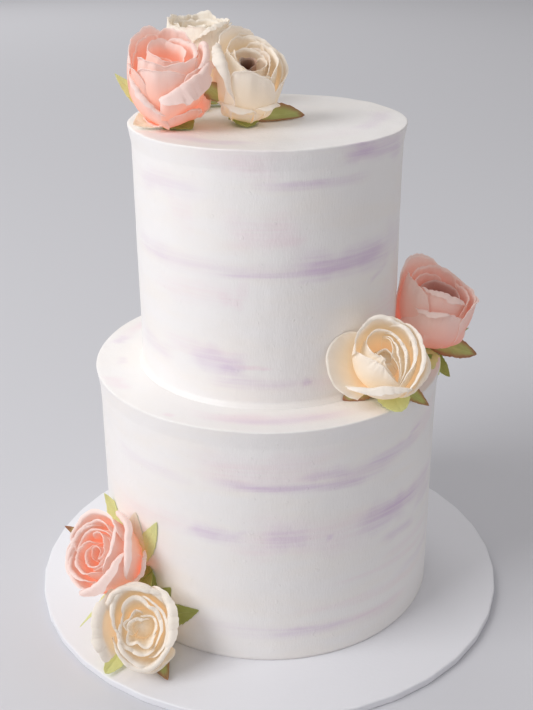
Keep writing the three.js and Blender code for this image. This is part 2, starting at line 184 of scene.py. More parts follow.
class Graph:
    """The node tree of one material, with the few helpers that fill it."""

    def __init__(self, name: str) -> None:
        """Starts an empty material.

        Args:
            name: The name of the material.
        """
        self.material = bpy.data.materials.new(name)
        self.material.use_nodes = True
        self.tree = self.material.node_tree
        self.tree.nodes.clear()
        self.end = self.tree.nodes.new("ShaderNodeOutputMaterial")

    def put(self, socket: bpy.types.NodeSocket, value: Any) -> None:
        """Links a value to a socket, or sets the socket to a number or a colour.

        Args:
            socket: The socket of a node.
            value: What it gets.
        """
        if isinstance(value, Value):
            self.tree.links.new(value.socket, socket)
        elif isinstance(value, tuple) and len(value) == 3 and len(socket.default_value) == 4:
            socket.default_value = (*value, 1)
        else:
            socket.default_value = value

    def node(self, kind: str, settings: dict[str, Any], inputs: dict[Any, Any], output: Any = 0) -> Value:
        """Adds one node of any kind.

        Args:
            kind: The node's type, without the word ShaderNode before it.
            settings: The node's own settings, which are set first.
            inputs: A number, a colour or a value for each socket, by name or by number.
            output: The name or the number of the wanted output.

        Returns:
            The value of that output.
        """
        made = self.tree.nodes.new(f"ShaderNode{kind}")
        for key, setting in settings.items():
            setattr(made, key, setting)
        for key, value in inputs.items():
            self.put(made.inputs[key], value)
        return Value(self, made.outputs[output])

    def mixed(self, share: Any, low: Any, high: Any) -> Value:
        """Mixes a share of the high colour into the low one."""
        settings = {"data_type": "RGBA", "blend_type": "MIX", "clamp_factor": True}
        return self.node("Mix", settings, {0: share, 6: low, 7: high}, 2)

    def measured(self, name: str) -> Value:
        """Reads a number that the mesh holds at each of its points."""
        return self.node("Attribute", {"attribute_name": name}, {}, "Fac")

    def flat(self, across: float, up: float) -> Value:
        """Gives the place on the unrolled cloth, with this many grains to the millimetre each way."""
        place = self.node("UVMap", {"uv_map": "cloth"}, {})
        return self.node("VectorMath", {"operation": "MULTIPLY"}, {0: place, 1: (across, up, 1.0)})

    def round(self, level: float, up: float) -> Value:
        """Gives the place on the object, with this many grains to the metre each way."""
        place = self.node("TexCoord", {}, {}, "Object")
        return self.node("VectorMath", {"operation": "MULTIPLY"}, {0: place, 1: (level, level, up)})

    def noise(self, place: Value, detail: float, rough: float = 0.5) -> Value:
        """Gives a noise from 0 to 1 with one grain to the unit of a place, and finer grains over it."""
        inputs = {"Vector": place, "Scale": 1.0, "Detail": detail, "Roughness": rough}
        return self.node("TexNoise", {}, inputs, "Fac")

    def bumped(self, height: Value, depth: float, under: Value | None = None) -> Value:
        """Turns a height from 0 to 1 into a normal.

        Args:
            height: The height.
            depth: The depth of the relief in metres.
            under: Another normal that this relief is laid over.

        Returns:
            The normal.
        """
        inputs = {"Height": height, "Distance": depth, "Strength": 1.0}
        if under is not None:
            inputs["Normal"] = under
        return self.node("Bump", {}, inputs)

    def principled(self, inputs: dict[str, Any]) -> Value:
        """Adds the main shader with these values on its own sockets."""
        return self.node("BsdfPrincipled", {}, inputs)

    def sheer(self, cloth: Value, share: Any, colour: Colour, normal: Value) -> Value:
        """Gives the shader of a cloth that lets through a share of the light, in that colour."""
        through = self.node("BsdfTranslucent", {}, {"Color": colour, "Normal": normal})
        return self.node("MixShader", {}, {0: share, 1: cloth, 2: through})

    def finish(self, shader: Value) -> Material:
        """Sends a shader to the output and gives the finished material."""
        self.tree.links.new(shader.socket, self.end.inputs["Surface"])
        return self.material


# ---- Finishes -------------------------------------------------------------------------------------------


@dataclass(frozen=True)
class PetalFinish:
    """Soft cloth petals: warm in the heart, paler on the body, pale at the rim; painted shade inside, painted
    glow.
    """

    name: str
    heart: Colour
    body: Colour
    rim: Colour
    # Colour of the painted shade on petals that lie far inside the bloom.
    hollow_shade: Colour
    # Strength of a painted glow, an emission that stands in for light through and between the petals.
    painted_glow: float
    fade: tuple[float, float] = (0.15, 0.78)
    roughness: float = 0.62
    sheen: float = 0.3
    through: float = 0.3
    weave: float = 0.00009

    def material(self) -> Material:
        """Builds the material of the petals.

        Returns:
            The material.
        """
        graph = Graph(self.name)
        rise = graph.measured("rise")
        depth = graph.measured("depth")
        streaks = graph.noise(graph.flat(0.9, 0.07), 3.0, 0.6)
        clouds = graph.noise(graph.flat(0.09, 0.09), 2.0)
        # Painted shade: a petal far inside the bloom is pulled towards the warmer heart colour; the clouds are
        # random tone.
        height = rise - depth * 0.32 + (clouds - 0.5) * 0.2
        colour = graph.mixed(height.ramp(*self.fade), self.heart, self.body)
        colour = graph.mixed(height.ramp(0.7, 1.04) * 0.8, colour, self.rim)
        colour = graph.mixed(graph.measured("edge").ramp(0.55, 1.0) * 0.55, colour, self.rim)
        colour = graph.mixed((streaks - 0.5) * 0.35 * graph.measured("shade"), colour, self.heart)
        # Painted shade: petals far inside the bloom darken to the painted shade colour, most towards their
        # foot, and let less light through.
        painted_shade = depth.ramp(0.45, 1.1) * (1.0 - height.ramp(0.35, 1.1)) * 0.95
        colour = graph.mixed(painted_shade, colour, self.hollow_shade)
        threads = graph.noise(graph.flat(7.0, 2.2), 2.0)
        normal = graph.bumped(streaks * 0.5 + threads * 0.5, self.weave)
        # Painted glow: the heart colour glows, fainter towards the rim, and dies away on petals far inside the
        # bloom.
        faint_glow = tuple(0.35 * part for part in self.heart)
        painted_glow_colour = graph.mixed(height.ramp(0.2, 1.05), self.heart, faint_glow)
        cloth = graph.principled(
            {
                "Base Color": colour,
                "Roughness": self.roughness + (threads - 0.5) * 0.12,
                "Normal": normal,
                "Specular IOR Level": 0.32,
                "Sheen Weight": self.sheen,
                "Sheen Roughness": 0.5,
                "Sheen Tint": self.heart,
                "Emission Color": graph.mixed(depth.ramp(0.4, 1.0), painted_glow_colour, (0.0, 0.0, 0.0)),
                "Emission Strength": self.painted_glow,
            }
        )
        return graph.finish(graph.sheer(cloth, (1.0 - painted_shade) * self.through, self.rim, normal))


@dataclass(frozen=True)
class LeafFinish:
    """Green cloth leaves that turn red-brown at the edge and pale lime where they are young, with a faint
    painted glow.
    """

    name: str
    green: Colour
    lime: Colour
    bronze: Colour
    pale: Colour
    # Strength of a painted glow, an emission that stands in for light on the leaves.
    painted_glow: float = 0.1
    roughness: float = 0.52
    through: float = 0.3
    relief: float = 0.0003

    def material(self) -> Material:
        """Builds the material of the leaves.

        Returns:
            The material.
        """
        graph = Graph(self.name)
        edge = graph.measured("edge")
        clouds = graph.noise(graph.flat(0.16, 0.1), 3.0)
        young = graph.measured("young")
        colour = graph.mixed((young + (clouds - 0.5) * 0.5).ramp(0.1, 0.9), self.green, self.lime)
        reddened = (edge + (clouds - 0.5) * 0.9) * graph.measured("bronzed")
        colour = graph.mixed(reddened.ramp(0.18, 0.75), colour, self.bronze)
        colour = graph.mixed(graph.measured("paled"), colour, self.pale)
        rib = graph.measured("rib")
        colour = graph.mixed(rib.ramp(0.6, 1.0) * 0.25, colour, self.lime)
        grain = graph.noise(graph.flat(3.0, 3.0), 3.0)
        normal = graph.bumped(grain * 0.4 - rib * 0.6, self.relief)
        cloth = graph.principled(
            {
                "Base Color": colour,
                "Roughness": self.roughness + (grain - 0.5) * 0.2,
                "Normal": normal,
                "Specular IOR Level": 0.35,
                # Painted glow: young leaves glow in their own colour, the others in plain green.
                "Emission Color": graph.mixed(young, self.green, colour),
                "Emission Strength": self.painted_glow,
            }
        )
        return graph.finish(graph.sheer(cloth, self.through, self.lime, normal))


@dataclass(frozen=True)
class IcingFinish:
    """Smooth white buttercream with strokes of lilac and pink dragged through it."""

    name: str = "icing"
    cream: Colour = linear(247, 244, 243)
    warm: Colour = linear(250, 240, 228)
    lilac: Colour = linear(223, 203, 225)
    pink: Colour = linear(243, 216, 227)
    roughness: float = 0.5
    fine_relief: float = 0.00022
    soft_relief: float = 0.0006

    def material(self) -> Material:
        """Builds the material of the icing.

        Returns:
            The material.
        """
        graph = Graph(self.name)
        drag = graph.noise(graph.round(14.0, 460.0), 4.0, 0.62)
        patches = graph.noise(graph.round(26.0, 90.0), 3.0)
        colour = graph.mixed(patches.ramp(0.35, 0.75) * 0.25, self.cream, self.warm)
        broken = (0.4 + drag.ramp(0.25, 0.7) * 0.65) * (0.5 + patches)
        colour = graph.mixed((graph.measured("pink") * broken).held(), colour, self.pink)
        colour = graph.mixed((graph.measured("lilac") * broken).held(), colour, self.lilac)
        grain = graph.noise(graph.round(900.0, 240.0), 3.0, 0.6)
        soft = graph.noise(graph.round(60.0, 60.0), 3.0)
        specks = graph.noise(graph.round(260.0, 260.0), 1.0).ramp(0.7, 0.78)
        waves = graph.bumped(soft, self.soft_relief)
        normal = graph.bumped(grain * 0.6 + specks * 0.4, self.fine_relief, waves)
        icing = graph.principled(
            {
                "Base Color": colour,
                "Roughness": self.roughness + (grain - 0.5) * 0.25,
                "Normal": normal,
                "Specular IOR Level": 0.4,
                "Coat Weight": (0.1 + (patches - 0.5) * 0.1).held(),
                "Coat Roughness": 0.35,
            }
        )
        return graph.finish(icing)


@dataclass(frozen=True)
class FoilFinish:
    """White board foil with a satin sheen and a faint pressed grain."""

    name: str = "board_wrap"
    white: Colour = linear(238, 238, 243)
    roughness: float = 0.38
    relief: float = 0.00006

    def material(self) -> Material:
        """Builds the material of the foil.

        Returns:
            The material.
        """
        graph = Graph(self.name)
        grain = graph.noise(graph.round(420.0, 420.0), 2.0)
        clouds = graph.noise(graph.round(14.0, 14.0), 2.0)
        colour = graph.mixed(clouds * 0.3, self.white, tuple(0.94 * part for part in self.white))
        foil = graph.principled(
            {
                "Base Color": colour,
                "Roughness": self.roughness + (grain - 0.5) * 0.12,
                "Normal": graph.bumped(grain, self.relief),
                "Specular IOR Level": 0.5,
            }
        )
        return graph.finish(foil)


@dataclass(frozen=True)
class FloorFinish:
    """A plain matt studio floor."""

    name: str = "studio_floor"
    grey: Colour = linear(216, 216, 221)

    def material(self) -> Material:
        """Builds the material of the floor.

        Returns:
            The material.
        """
        graph = Graph(self.name)
        clouds = graph.noise(graph.round(3.0, 3.0), 2.0)
        colour = graph.mixed(clouds * 0.2, self.grey, tuple(0.97 * part for part in self.grey))
        return graph.finish(graph.principled({"Base Color": colour, "Roughness": 0.9}))


# ---- Meshes ---------------------------------------------------------------------------------------------


def added(name: str, data: bpy.types.ID) -> bpy.types.Object:
    """Adds an object with a mesh, a light or a camera to the scene.

    Args:
        name: The name of the object.
        data: The mesh, the light or the camera.

    Returns:
        The object.
    """
    made = bpy.data.objects.new(name, data)
    bpy.context.scene.collection.objects.link(made)
    return made


@dataclass
class Cloth:
    """Gathers grids of points into one mesh. A grid is a thin closed sheet or one side of a closed body."""

    name: str
    points: list[Array] = field(default_factory=list)
    places: list[Array] = field(default_factory=list)
    values: dict[str, list[Array]] = field(default_factory=dict)
    faces: list[list[int]] = field(default_factory=list)
    count: int = 0

    def _keep(self, points: Array, places: Array, values: dict[str, Array], faces: list[list[int]]) -> None:
        """Adds points with their values, and the faces between them.

        Args:
            points: The points.
            places: Their places on the flat cloth.
            values: A number for each point, by the name of what it measures.
            faces: The corners of each face, counted from the first of these points.
        """
        self.points.append(points)
        self.places.append(places)
        for key, value in values.items():
            self.values.setdefault(key, []).append(value)
        self.faces += [[corner + self.count for corner in face] for face in faces]
        self.count += len(points)

    def sheet(self, grid: Array, places: Array, thick: Array | float, values: dict[str, Array]) -> None:
        """Adds a thin closed sheet with a front, a back and a rim.

        Args:
            grid: The points of the middle surface, row by row, in millimetres.
            places: The place of each point on the flat cloth, in millimetres.
            thick: The thickness of the sheet.
            values: A number for each point, by the name of what it measures.
        """
        rows, columns = grid.shape[:2]
        normal = unit(np.cross(np.gradient(grid, axis=1), np.gradient(grid, axis=0)))
        half = normal * (np.broadcast_to(thick, (rows, columns)) / 2)[..., None]
        index = np.arange(rows * columns).reshape(rows, columns)
        near = np.stack([index[:-1, :-1], index[:-1, 1:], index[1:, 1:], index[1:, :-1]], -1).reshape(-1, 4)
        far = near[:, ::-1] + rows * columns
        around = np.concatenate([index[0, :-1], index[:-1, -1], index[-1, :0:-1], index[:0:-1, 0]])
        after = np.roll(around, -1)
        rim = np.stack([around, around + rows * columns, after + rows * columns, after], -1)
        self._keep(
            np.concatenate([(grid + half).reshape(-1, 3), (grid - half).reshape(-1, 3)]),
            np.concatenate([places.reshape(-1, 2)] * 2),
            {key: np.concatenate([np.ravel(value)] * 2) for key, value in values.items()},
            np.concatenate([near, far, rim]).tolist(),
        )

    def turned(self, grid: Array, places: Array, values: dict[str, Array]) -> None:
        """Adds a closed body of revolution.

        Args:
            grid: Rings of points from the bottom to the top. The first ring and the last lie round the axis.
            places: The place of each point on the unrolled surface, in millimetres.
            values: A number for each point, by the name of what it measures.
        """
        rings, sides = grid.shape[:2]
        index = np.arange(rings * sides).reshape(rings, sides)
        after = np.roll(index, -1, axis=1)
        walls = np.stack([index[:-1], after[:-1], after[1:], index[1:]], -1).reshape(-1, 4)
        low, high = rings * sides, rings * sides + 1
        ends = [grid[0].mean(0), grid[-1].mean(0)]
        bottom = np.stack([after[0], index[0], np.full(sides, low)], -1)
        top = np.stack([index[-1], after[-1], np.full(sides, high)], -1)
        closed = {key: np.append(value, [value[0].mean(), value[-1].mean()]) for key, value in values.items()}
        self._keep(
            np.concatenate([grid.reshape(-1, 3), ends]),
            np.concatenate([places.reshape(-1, 2), [places[0, 0], places[-1, 0]]]),
            closed,
            [*walls.tolist(), *bottom.tolist(), *top.tolist()],
        )

    def made(self, material: Material, crease: float = 50.0) -> bpy.types.Object:
        """Builds the object.

        Args:
            material: The finish of the whole piece.
            crease: The angle in degrees above which an edge stays sharp.

        Returns:
            The new object, in metres.
        """
        points = np.concatenate(self.points)
        mesh = bpy.data.meshes.new(self.name)
        mesh.from_pydata((points * MM).tolist(), [], self.faces)
        of_corner = np.empty(len(mesh.loops), int)
        mesh.loops.foreach_get("vertex_index", of_corner)
        cloth = mesh.uv_layers.new(name="cloth")
        cloth.data.foreach_set("uv", np.concatenate(self.places)[of_corner].astype(np.float32).ravel())
        for key, parts in self.values.items():
            layer = mesh.attributes.new(key, "FLOAT", "POINT")
            layer.data.foreach_set("value", np.concatenate(parts).astype(np.float32))
        mesh.materials.append(material)
        mesh.polygons.foreach_set("use_smooth", np.ones(len(mesh.polygons), bool))
        mesh.set_sharp_from_angle(angle=math.radians(crease))
        mesh.update()
        return added(self.name, mesh)


def settle(piece: bpy.types.Object, node: str) -> None:
    """Lets a piece ride on the cake and stand for its solid.

    Args:
        piece: The finished object.
        node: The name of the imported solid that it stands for.
    """
    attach(piece, BODY)
    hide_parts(node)
    log.info("%s: %d points", piece.name, len(piece.data.vertices))


# ---- Board and tiers ------------------------------------------------------------------------------------


class Tone(Enum):
    """The colour of a stroke in the icing."""

    LILAC = "lilac"
    PINK = "pink"


LILAC, PINK = Tone


@dataclass(frozen=True)
class Stroke:
    """One soft stroke of colour dragged round a tier, or across its top.

    The middle is given by a compass angle from the front, positive to the right, and by a height. On a top
    the second number is the distance from the axis instead. Span and depth are the full extents. The middle
    wavers, the width is uneven and the ends are ragged, each as a share of the stroke's own size.
    """

    tone: Tone
    angle: float
    height: float
    span: float
    depth: float
    strength: float
    tilt: float = 0.0
    waver: float = 0.1
    uneven: float = 0.25
    ragged: float = 0.12

    def cover(self, angle: Array, height: Array, seed: int) -> Array:
        """Gives how much colour the stroke leaves at each point.

        Args:
            angle: Compass angle of each point in degrees.
            height: Height, or distance from the axis, of each point.
            seed: Seeds its uneven outline.

        Returns:
            The cover, which is 0 outside the stroke and 0.85 of its strength in its middle.
        """
        along = (np.mod(angle - self.angle + 180, 360) - 180) / (self.span / 2)
        middle = self.height + self.tilt * along + self.waver * self.depth * Wobble(seed + 11, 0.5)(along)
        half = self.depth / 2 * (1.3 + self.uneven * Wobble(seed + 5, 0.8)(along))
        across = (height - middle) / half
        end = np.abs(along + self.ragged * Wobble(seed + 7, 0.6)(across))
        return 0.85 * self.strength * (1 - smooth(0.4, 1.0, end)) * (1 - smooth(0.1, 1.0, np.abs(across)))


@dataclass
class Tier:
    """One round tier of cake under scraped buttercream.

    The wall stands proud of the radius by foot at its base and by crest at its upper edge, and draws in by
    waist between them. coat, slant and rim_wave are the heights of the coat's waves, and dish is how far the
    top sinks towards its middle.
    """

    node: str
    radius: float
    base: float
    height: float
    foot: float
    foot_rise: float
    waist: float
    crest: float
    strokes: tuple[Stroke, ...]
    top_strokes: tuple[Stroke, ...]
    seed: int
    waist_drop: float = 25.6
    crest_drop: float = 11.2
    edge: float = 0.8
    coat: float = 0.16
    slant: float = 0.14
    slant_turn: float = 310.0
    rim_wave: float = 0.22
    dish: float = 0.35
    hub: float = 2.0
    sides: int = 384

    @property
    def top(self) -> float:
        """The height of the tier's flat top."""
        return self.base + self.height

    def profile(self) -> list[tuple[float, float]]:
        """Gives the outline from the bottom's middle to the top's middle.

        Returns:
            The radius and the height of each ring.
        """
        radius, top, low = self.radius, self.top, self.base + self.foot_rise
        knots = [
            (self.base, self.foot),
            (low, 0.0),
            (top - self.waist_drop, -self.waist),
            (top - self.crest_drop, -self.waist / 2),
            (top - self.edge, self.crest),
        ]
        foot = np.linspace(self.base, low, 8)[:-1]
        middle = np.linspace(low, top - self.waist_drop, 90)[:-1]
        crest = np.linspace(top - self.waist_drop, top - self.edge, 40)
        wall = [(radius + np.interp(z, *zip(*knots)), z) for z in (*foot, *middle, *crest)]
        brim = radius + self.crest - self.edge
        turn = np.radians(np.linspace(15, 90, 6))
        lip = [(brim + self.edge * math.cos(a), top - self.edge * (1 - math.sin(a))) for a in turn]
        inside = [(r, top) for r in np.linspace(brim, self.hub, 60)[1:]]
        under = [(r, self.base) for r in np.linspace(self.hub, radius + self.foot, 12)[:-1]]
        return under + wall + lip + inside

    def build(self, finish: Material) -> None:
        """Builds the tier with its uneven coat and its strokes.

        Args:
            finish: The finish of the icing.
        """
        outline = np.array(self.profile())
        angle = np.linspace(0, 360, self.sides, endpoint=False)
        radius, height = outline[:, :1], outline[:, 1:]
        turn = angle[None, :] / 360
        on_top = (height >= self.top - TINY).astype(float)
        wall = smooth(self.base + 1, self.base + 8, height) * (1 - on_top)
        uneven = self.coat * Wobble(self.seed, 2.0)(turn + 0 * height) * wall
        uneven = uneven + self.slant * Wobble(self.seed + 1, 3.0)(turn + height / self.slant_turn) * wall
        rim = smooth(self.top - 6, self.top - 0.5, height) * smooth(self.radius - 9, self.radius - 1, radius)
        lifted = rim * self.rim_wave * Wobble(self.seed + 2, 7.0)(turn + 0 * height)
        dished = -self.dish * on_top * smooth(0, 1, 1 - radius / self.radius)
        wide = radius + uneven + 0.5 * lifted
        aim = np.radians(angle)[None, :]
        grid = np.stack([wide * np.sin(aim), -wide * np.cos(aim), height + lifted + dished + 0 * aim], -1)
        run = np.broadcast_to(self._run(outline), wide.shape)
        places = np.stack([self.radius * aim + 0 * radius, run], -1)
        cover = self._cover(angle[None, :] + 0 * radius, radius + 0 * aim, height + 0 * aim)
        cloth = Cloth(f"{self.node}_icing")
        cloth.turned(grid, places, cover)
        settle(cloth.made(finish, 70.0), self.node)

    @staticmethod
    def _run(outline: Array) -> Array:
        """Gives how far each ring lies along the outline."""
        steps = np.linalg.norm(np.diff(outline, axis=0), axis=1)
        return np.concatenate([[0.0], np.cumsum(steps)])[:, None]

    def _cover(self, angle: Array, radius: Array, height: Array) -> dict[str, Array]:
        """Gives the cover of each colour at every point of the tier.

        Args:
            angle: Compass angle of each point in degrees.
            radius: Distance of each point from the axis.
            height: Height of each point.

        Returns:
            The covers, by the name of the colour.
        """
        on_top = height >= self.top - TINY
        cover = {tone.value: np.zeros_like(angle) for tone in Tone}
        for order, stroke in enumerate(self.strokes):
            cover[stroke.tone.value] += np.where(on_top, 0, stroke.cover(angle, height, order))
        for order, stroke in enumerate(self.top_strokes):
            cover[stroke.tone.value] += np.where(on_top, stroke.cover(angle, radius, order), 0)
        return cover


def loops(seed: int, low: float, high: float, count: int) -> tuple[Stroke, ...]:
    """Gives the seeded strokes round the back of a tier.

    Args:
        seed: Seeds the strokes.
        low: The height of the lowest stroke.
        high: The height of the highest stroke.
        count: How many strokes.

    Returns:
        The strokes.
    """
    draw = np.random.default_rng(seed)
    strokes = []
    for height in np.linspace(low, high, count):
        tone = LILAC if draw.uniform() < 0.6 else PINK
        angle, span, depth = draw.uniform(110, 250), draw.uniform(30, 85), draw.uniform(5, 22)
        strokes.append(Stroke(tone, angle, height, span, depth, draw.uniform(0.2, 0.6), draw.uniform(-3, 3)))
    return tuple(strokes)


@dataclass
class Board:
    """The round board, wrapped in foil that folds over the rim in short flats."""

    node: str = "board"
    radius: float = 6 * INCH
    thick: float = 5.0
    edge: float = 0.9
    hub: float = 4.0
    flats: int = 38
    pleat_width: float = 0.008
    pleat_depth: float = 0.28
    sides: int = 608
    seed: int = 41

    def profile(self) -> list[tuple[float, float]]:
        """Gives the outline from the bottom's middle to the top's middle.

        Returns:
            The radius and the height of each ring.
        """
        edge, brim = self.edge, self.radius - self.edge
        turn = np.radians(np.linspace(-90, 90, 9))
        under = [(r, 0.0) for r in np.linspace(self.hub, self.radius - 3, 20)]
        foot = [(brim + 0.9 * edge * math.cos(a), edge * (1 + math.sin(a))) for a in turn[:5]]
        side = [(self.radius - 0.1, z) for z in np.linspace(edge, self.thick - edge, 6)]
        lip = [(brim + edge * math.cos(a), self.thick - edge * (1 - math.sin(a))) for a in turn[4:]]
        inside = [(r, self.thick) for r in np.linspace(self.radius - 2.2, self.hub, 40)]
        return under + foot + side + lip + inside

    def build(self, finish: Material) -> None:
        """Builds the board with its flats and the small pleats between them.

        Args:
            finish: The finish of the foil.
        """
        angle = np.linspace(0, 2 * math.pi, self.sides, endpoint=False)
        flat = math.pi / self.flats
        within = np.mod(angle, 2 * flat) - flat
        reach = math.cos(flat) / np.cos(within)
        pleat = np.exp(-(((np.abs(within) - flat) / self.pleat_width) ** 2))
        draw = np.random.default_rng(self.seed)
        which = np.floor(angle / (2 * flat)).astype(int)
        depth = draw.uniform(0.0, self.pleat_depth, self.flats)[which]
        profile = np.array(self.profile())
        radius, height = profile[:, :1], profile[:, 1:]
        near_rim = smooth(self.radius - 6, self.radius - 1, radius)
        wide = radius * mix(1.0, reach[None, :], near_rim) - near_rim * (pleat * depth)[None, :]
        grid = np.stack([wide * np.sin(angle), -wide * np.cos(angle), height + 0 * wide], -1)
        places = np.stack([wide * np.sin(angle), wide * np.cos(angle)], -1)
        cloth = Cloth("board_foil")
        cloth.turned(grid, places, {})
        settle(cloth.made(finish, 40.0), self.node)


# ---- Petals and leaves ----------------------------------------------------------------------------------


class Keepout:
    """Keeps cloth out of the board and the tiers, which it presses against."""

    def __init__(self, tiers: list[Tier], board: Board, gap: float = 0.35) -> None:
        """Notes what to keep out of.

        Args:
            tiers: The tiers.
            board: The board.
            gap: The gap to leave between the cloth and them.
        """
        self.tiers = tiers
        self.board = board
        self.gap = gap

    def clear(self, points: Array) -> Array:
        """Moves points that lie inside a tier or the board out to its surface.

        Args:
            points: Points in the cake's frame.

        Returns:
            The same points, clear of the tiers and the board.
        """
        clear = points.copy()
        for tier in self.tiers:
            level, top = clear[..., 2], tier.top + self.gap
            reach = tier.radius + tier.crest * smooth(tier.top - 10, tier.top, level) + self.gap
            away = np.linalg.norm(clear[..., :2], axis=-1)
            inside = (away < reach) & (level < top) & (level > tier.base)
            lift = inside & (top - level < reach - away)
            push = inside & ~lift
            clear[..., 2] = np.where(lift, top, level)
            clear[..., :2] *= np.where(push, reach / np.maximum(away, TINY), 1.0)[..., None]
        clear[..., 2] = np.maximum(clear[..., 2], self.board.thick + self.gap)
        return clear


def along(knots: Knots, place: Array) -> Array:
    """Runs smoothly through evenly spaced knots.

    Args:
        knots: The values from the left end to the right one, or one value for all places.
        place: Where to read them, from -1 at the left to 1 at the right.

    Returns:
        The value at each place.
    """
    if not isinstance(knots, tuple):
        return knots + 0 * place
    steps = len(knots) - 1
    spot = np.clip((place + 1) / 2 * steps, 0, steps)
    left = np.minimum(spot.astype(int), steps - 1)
    share = spot - left
    padded = np.array([2 * knots[0] - knots[1], *knots, 2 * knots[-1] - knots[-2]])
    before, low, high, after = (padded[left + k] for k in range(4))
    cubic = 3 * (low - high) + after - before
    square = 2 * before - 5 * low + 4 * high - after
    return low + 0.5 * share * (high - before + share * (square + share * cubic))


@dataclass(frozen=True)
class Petal:
    """One cloth petal that rises from the bloom's foot to a rim, and turns back over it in a lip.

    turn is its middle's place round the bloom and span its half width, both in degrees. rim and reach are
    the heights of its rim and its distances from the axis, and lip the widths of the cloth turned back over
    the rim, each from its left end to its right one as seen from outside. belly holds its distances from
    the axis halfway up. A plain number in place of a row of them holds all along. The lip curls by bend
    degrees at most over the roll and hangs straight from there. drop rounds the rim's corners, ruffle waves
    it, fray tears it, and depth paints shade on a petal that lies far inside the bloom.
    """

    turn: float
    span: float
    rim: tuple[float, ...]
    reach: Knots
    belly: Knots
    lip: Knots = (1, 2, 1)
    low: float = 0.24
    high: float = 0.62
    foot: tuple[float, float] = (3.6, 0.4)
    start: float = 0.06
    pale_edge: float = 1.8
    roll: float = 1.5
    bend: float = 150.0
    drop: float = 0.12
    ruffle: float = 0.6
    fray: float = 0.015
    # How far inside the bloom the petal lies; it paints shade on the cloth.
    depth: float = 0.0
    rows: int = 24
    lip_rows: int = 9
    columns: int = 42

    def lines(self) -> tuple[Array, Array]:
        """Gives the places across the petal, from -1 to 1, and up it, from its foot to 1 at its rim."""
        return np.linspace(-1, 1, self.columns)[None, :], np.linspace(self.start, 1, self.rows)[:, None]

    def body(self, seed: int) -> Array:
        """Places the petal from its foot to its rim.

        Args:
            seed: Seeds its uneven rim.

        Returns:
            Rows of points in the bloom's frame.
        """
        u, v = self.lines()
        corner = smooth(0.66, 1.0, np.abs(u)) ** 2
        torn = self.fray * (Wobble(seed + 1, 2.5, 7)(0.5 * u) + 0.5 * Wobble(seed + 6, 7, 3)(0.5 * u))
        top = along(self.rim, u) * (1 - self.drop * corner) - self.foot[1]
        reach = along(self.reach, u)
        start = np.minimum(self.foot[0], 0.5 * reach)
        middle = (8 * along(self.belly, u) - start - reach) / 6
        first, second, third = 3 * v * (1 - v) ** 2, 3 * v**2 * (1 - v), v**3
        radius = (1 - v) ** 3 * start + (first + second) * middle + third * reach
        grown = self.low * first + self.high * second + third + torn * smooth(0.85, 1, v)
        height = self.foot[1] + top * grown
        aim = np.radians(self.turn + self.span * u)
        points = np.stack([radius * np.cos(aim), radius * np.sin(aim), height], -1)
        wave = Wobble(seed + 2, 1.1, 3)(0.5 * u + 0.2 * v) * smooth(0.3, 1.0, v)
        frill = Wobble(seed + 3, 3.6, 3)(0.5 * u + 0.1 * v) * smooth(0.75, 1.0, v) * (0.5 + 0.5 * np.abs(u))
        return points + self._outward(points) * (self.ruffle * (wave + 0.5 * frill))[..., None]

    @staticmethod
    def _outward(points: Array) -> Array:
        """Gives the normals that point away from the bloom's axis."""
        return unit(np.cross(np.gradient(points, axis=1), np.gradient(points, axis=0)))

    def turned_back(self, body: Array, hung: Array) -> Array:
        """Turns the cloth above the rim outward and down.

        Args:
            body: The rows of points from the foot to the rim.
            hung: How much cloth lies between the rim and each point of the lip.

        Returns:
            The rows of points of the lip.
        """
        rim = body[-1]
        along_rim = unit(np.gradient(rim, axis=0))
        onward = rim - body[-2]
        onward = unit(onward - along_rim * np.sum(onward * along_rim, -1, keepdims=True))
        outward = np.cross(onward, along_rim)
        outward = outward * np.sign(np.sum(outward * self._outward(body)[-1], -1, keepdims=True))
        most = math.radians(self.bend)
        turned = np.minimum(hung / self.roll, most)[..., None]
        straight = np.maximum(hung - self.roll * most, 0.0)[..., None]
        ahead = self.roll * np.sin(turned) + straight * np.cos(turned)
        aside = self.roll * (1 - np.cos(turned)) + straight * np.sin(turned)
        return rim + ahead * onward + aside * outward

    def grid(self, seed: int) -> tuple[Array, Array, dict[str, Array]]:
        """Builds the petal's middle surface with its lip.

        Args:
            seed: Seeds its uneven rim.

        Returns:
            The points, their places on the flat cloth, and the numbers that the finish reads.
        """
        u, rise = self.lines()
        body = self.body(seed)
        share = (np.arange(1, self.lip_rows + 1) / self.lip_rows)[:, None]
        uneven = 1 + 0.1 * Wobble(seed + 5, 1.6, 4)(0.5 * u) + 0.05 * Wobble(seed + 8, 5, 3)(0.5 * u)
        wide = np.maximum(along(self.lip, u), 0.5) * uneven * (1 - smooth(0.8, 1.0, np.abs(u)) ** 2 * 0.85)
        hung = share * wide
        tall = max(self.rim)
        half = np.radians(self.span) * along(self.reach, u)
        v = np.concatenate([rise + 0 * u, 1 + 0.02 * hung])
        up = np.concatenate([rise * tall + 0 * u, tall + hung])
        inset = np.minimum(tall + wide - up, np.abs(half) * (1 - np.abs(u)))
        values = {
            "rise": v,
            "edge": np.clip(1 - inset / self.pale_edge, 0, 1),
            "depth": np.full(v.shape, self.depth),
            "shade": np.full(v.shape, np.random.default_rng(seed + 4).uniform(0.4, 1.0)),
        }
        places = np.stack([half * u + 0 * v, up + 60 * (seed % 13)], -1)
        return np.concatenate([body, self.turned_back(body, hung)]), places, values


class LeafTone(Enum):
    """How a leaf has turned: how young, bronzed and pale it is."""

    GREEN = (0.25, 0.2, 0.0)
    LIME = (0.95, 0.0, 0.0)
    BRONZE = (0.45, 0.75, 0.0)
    PALE = (0.9, 0.1, 0.85)


GREEN, LIME, BRONZE, PALE = LeafTone


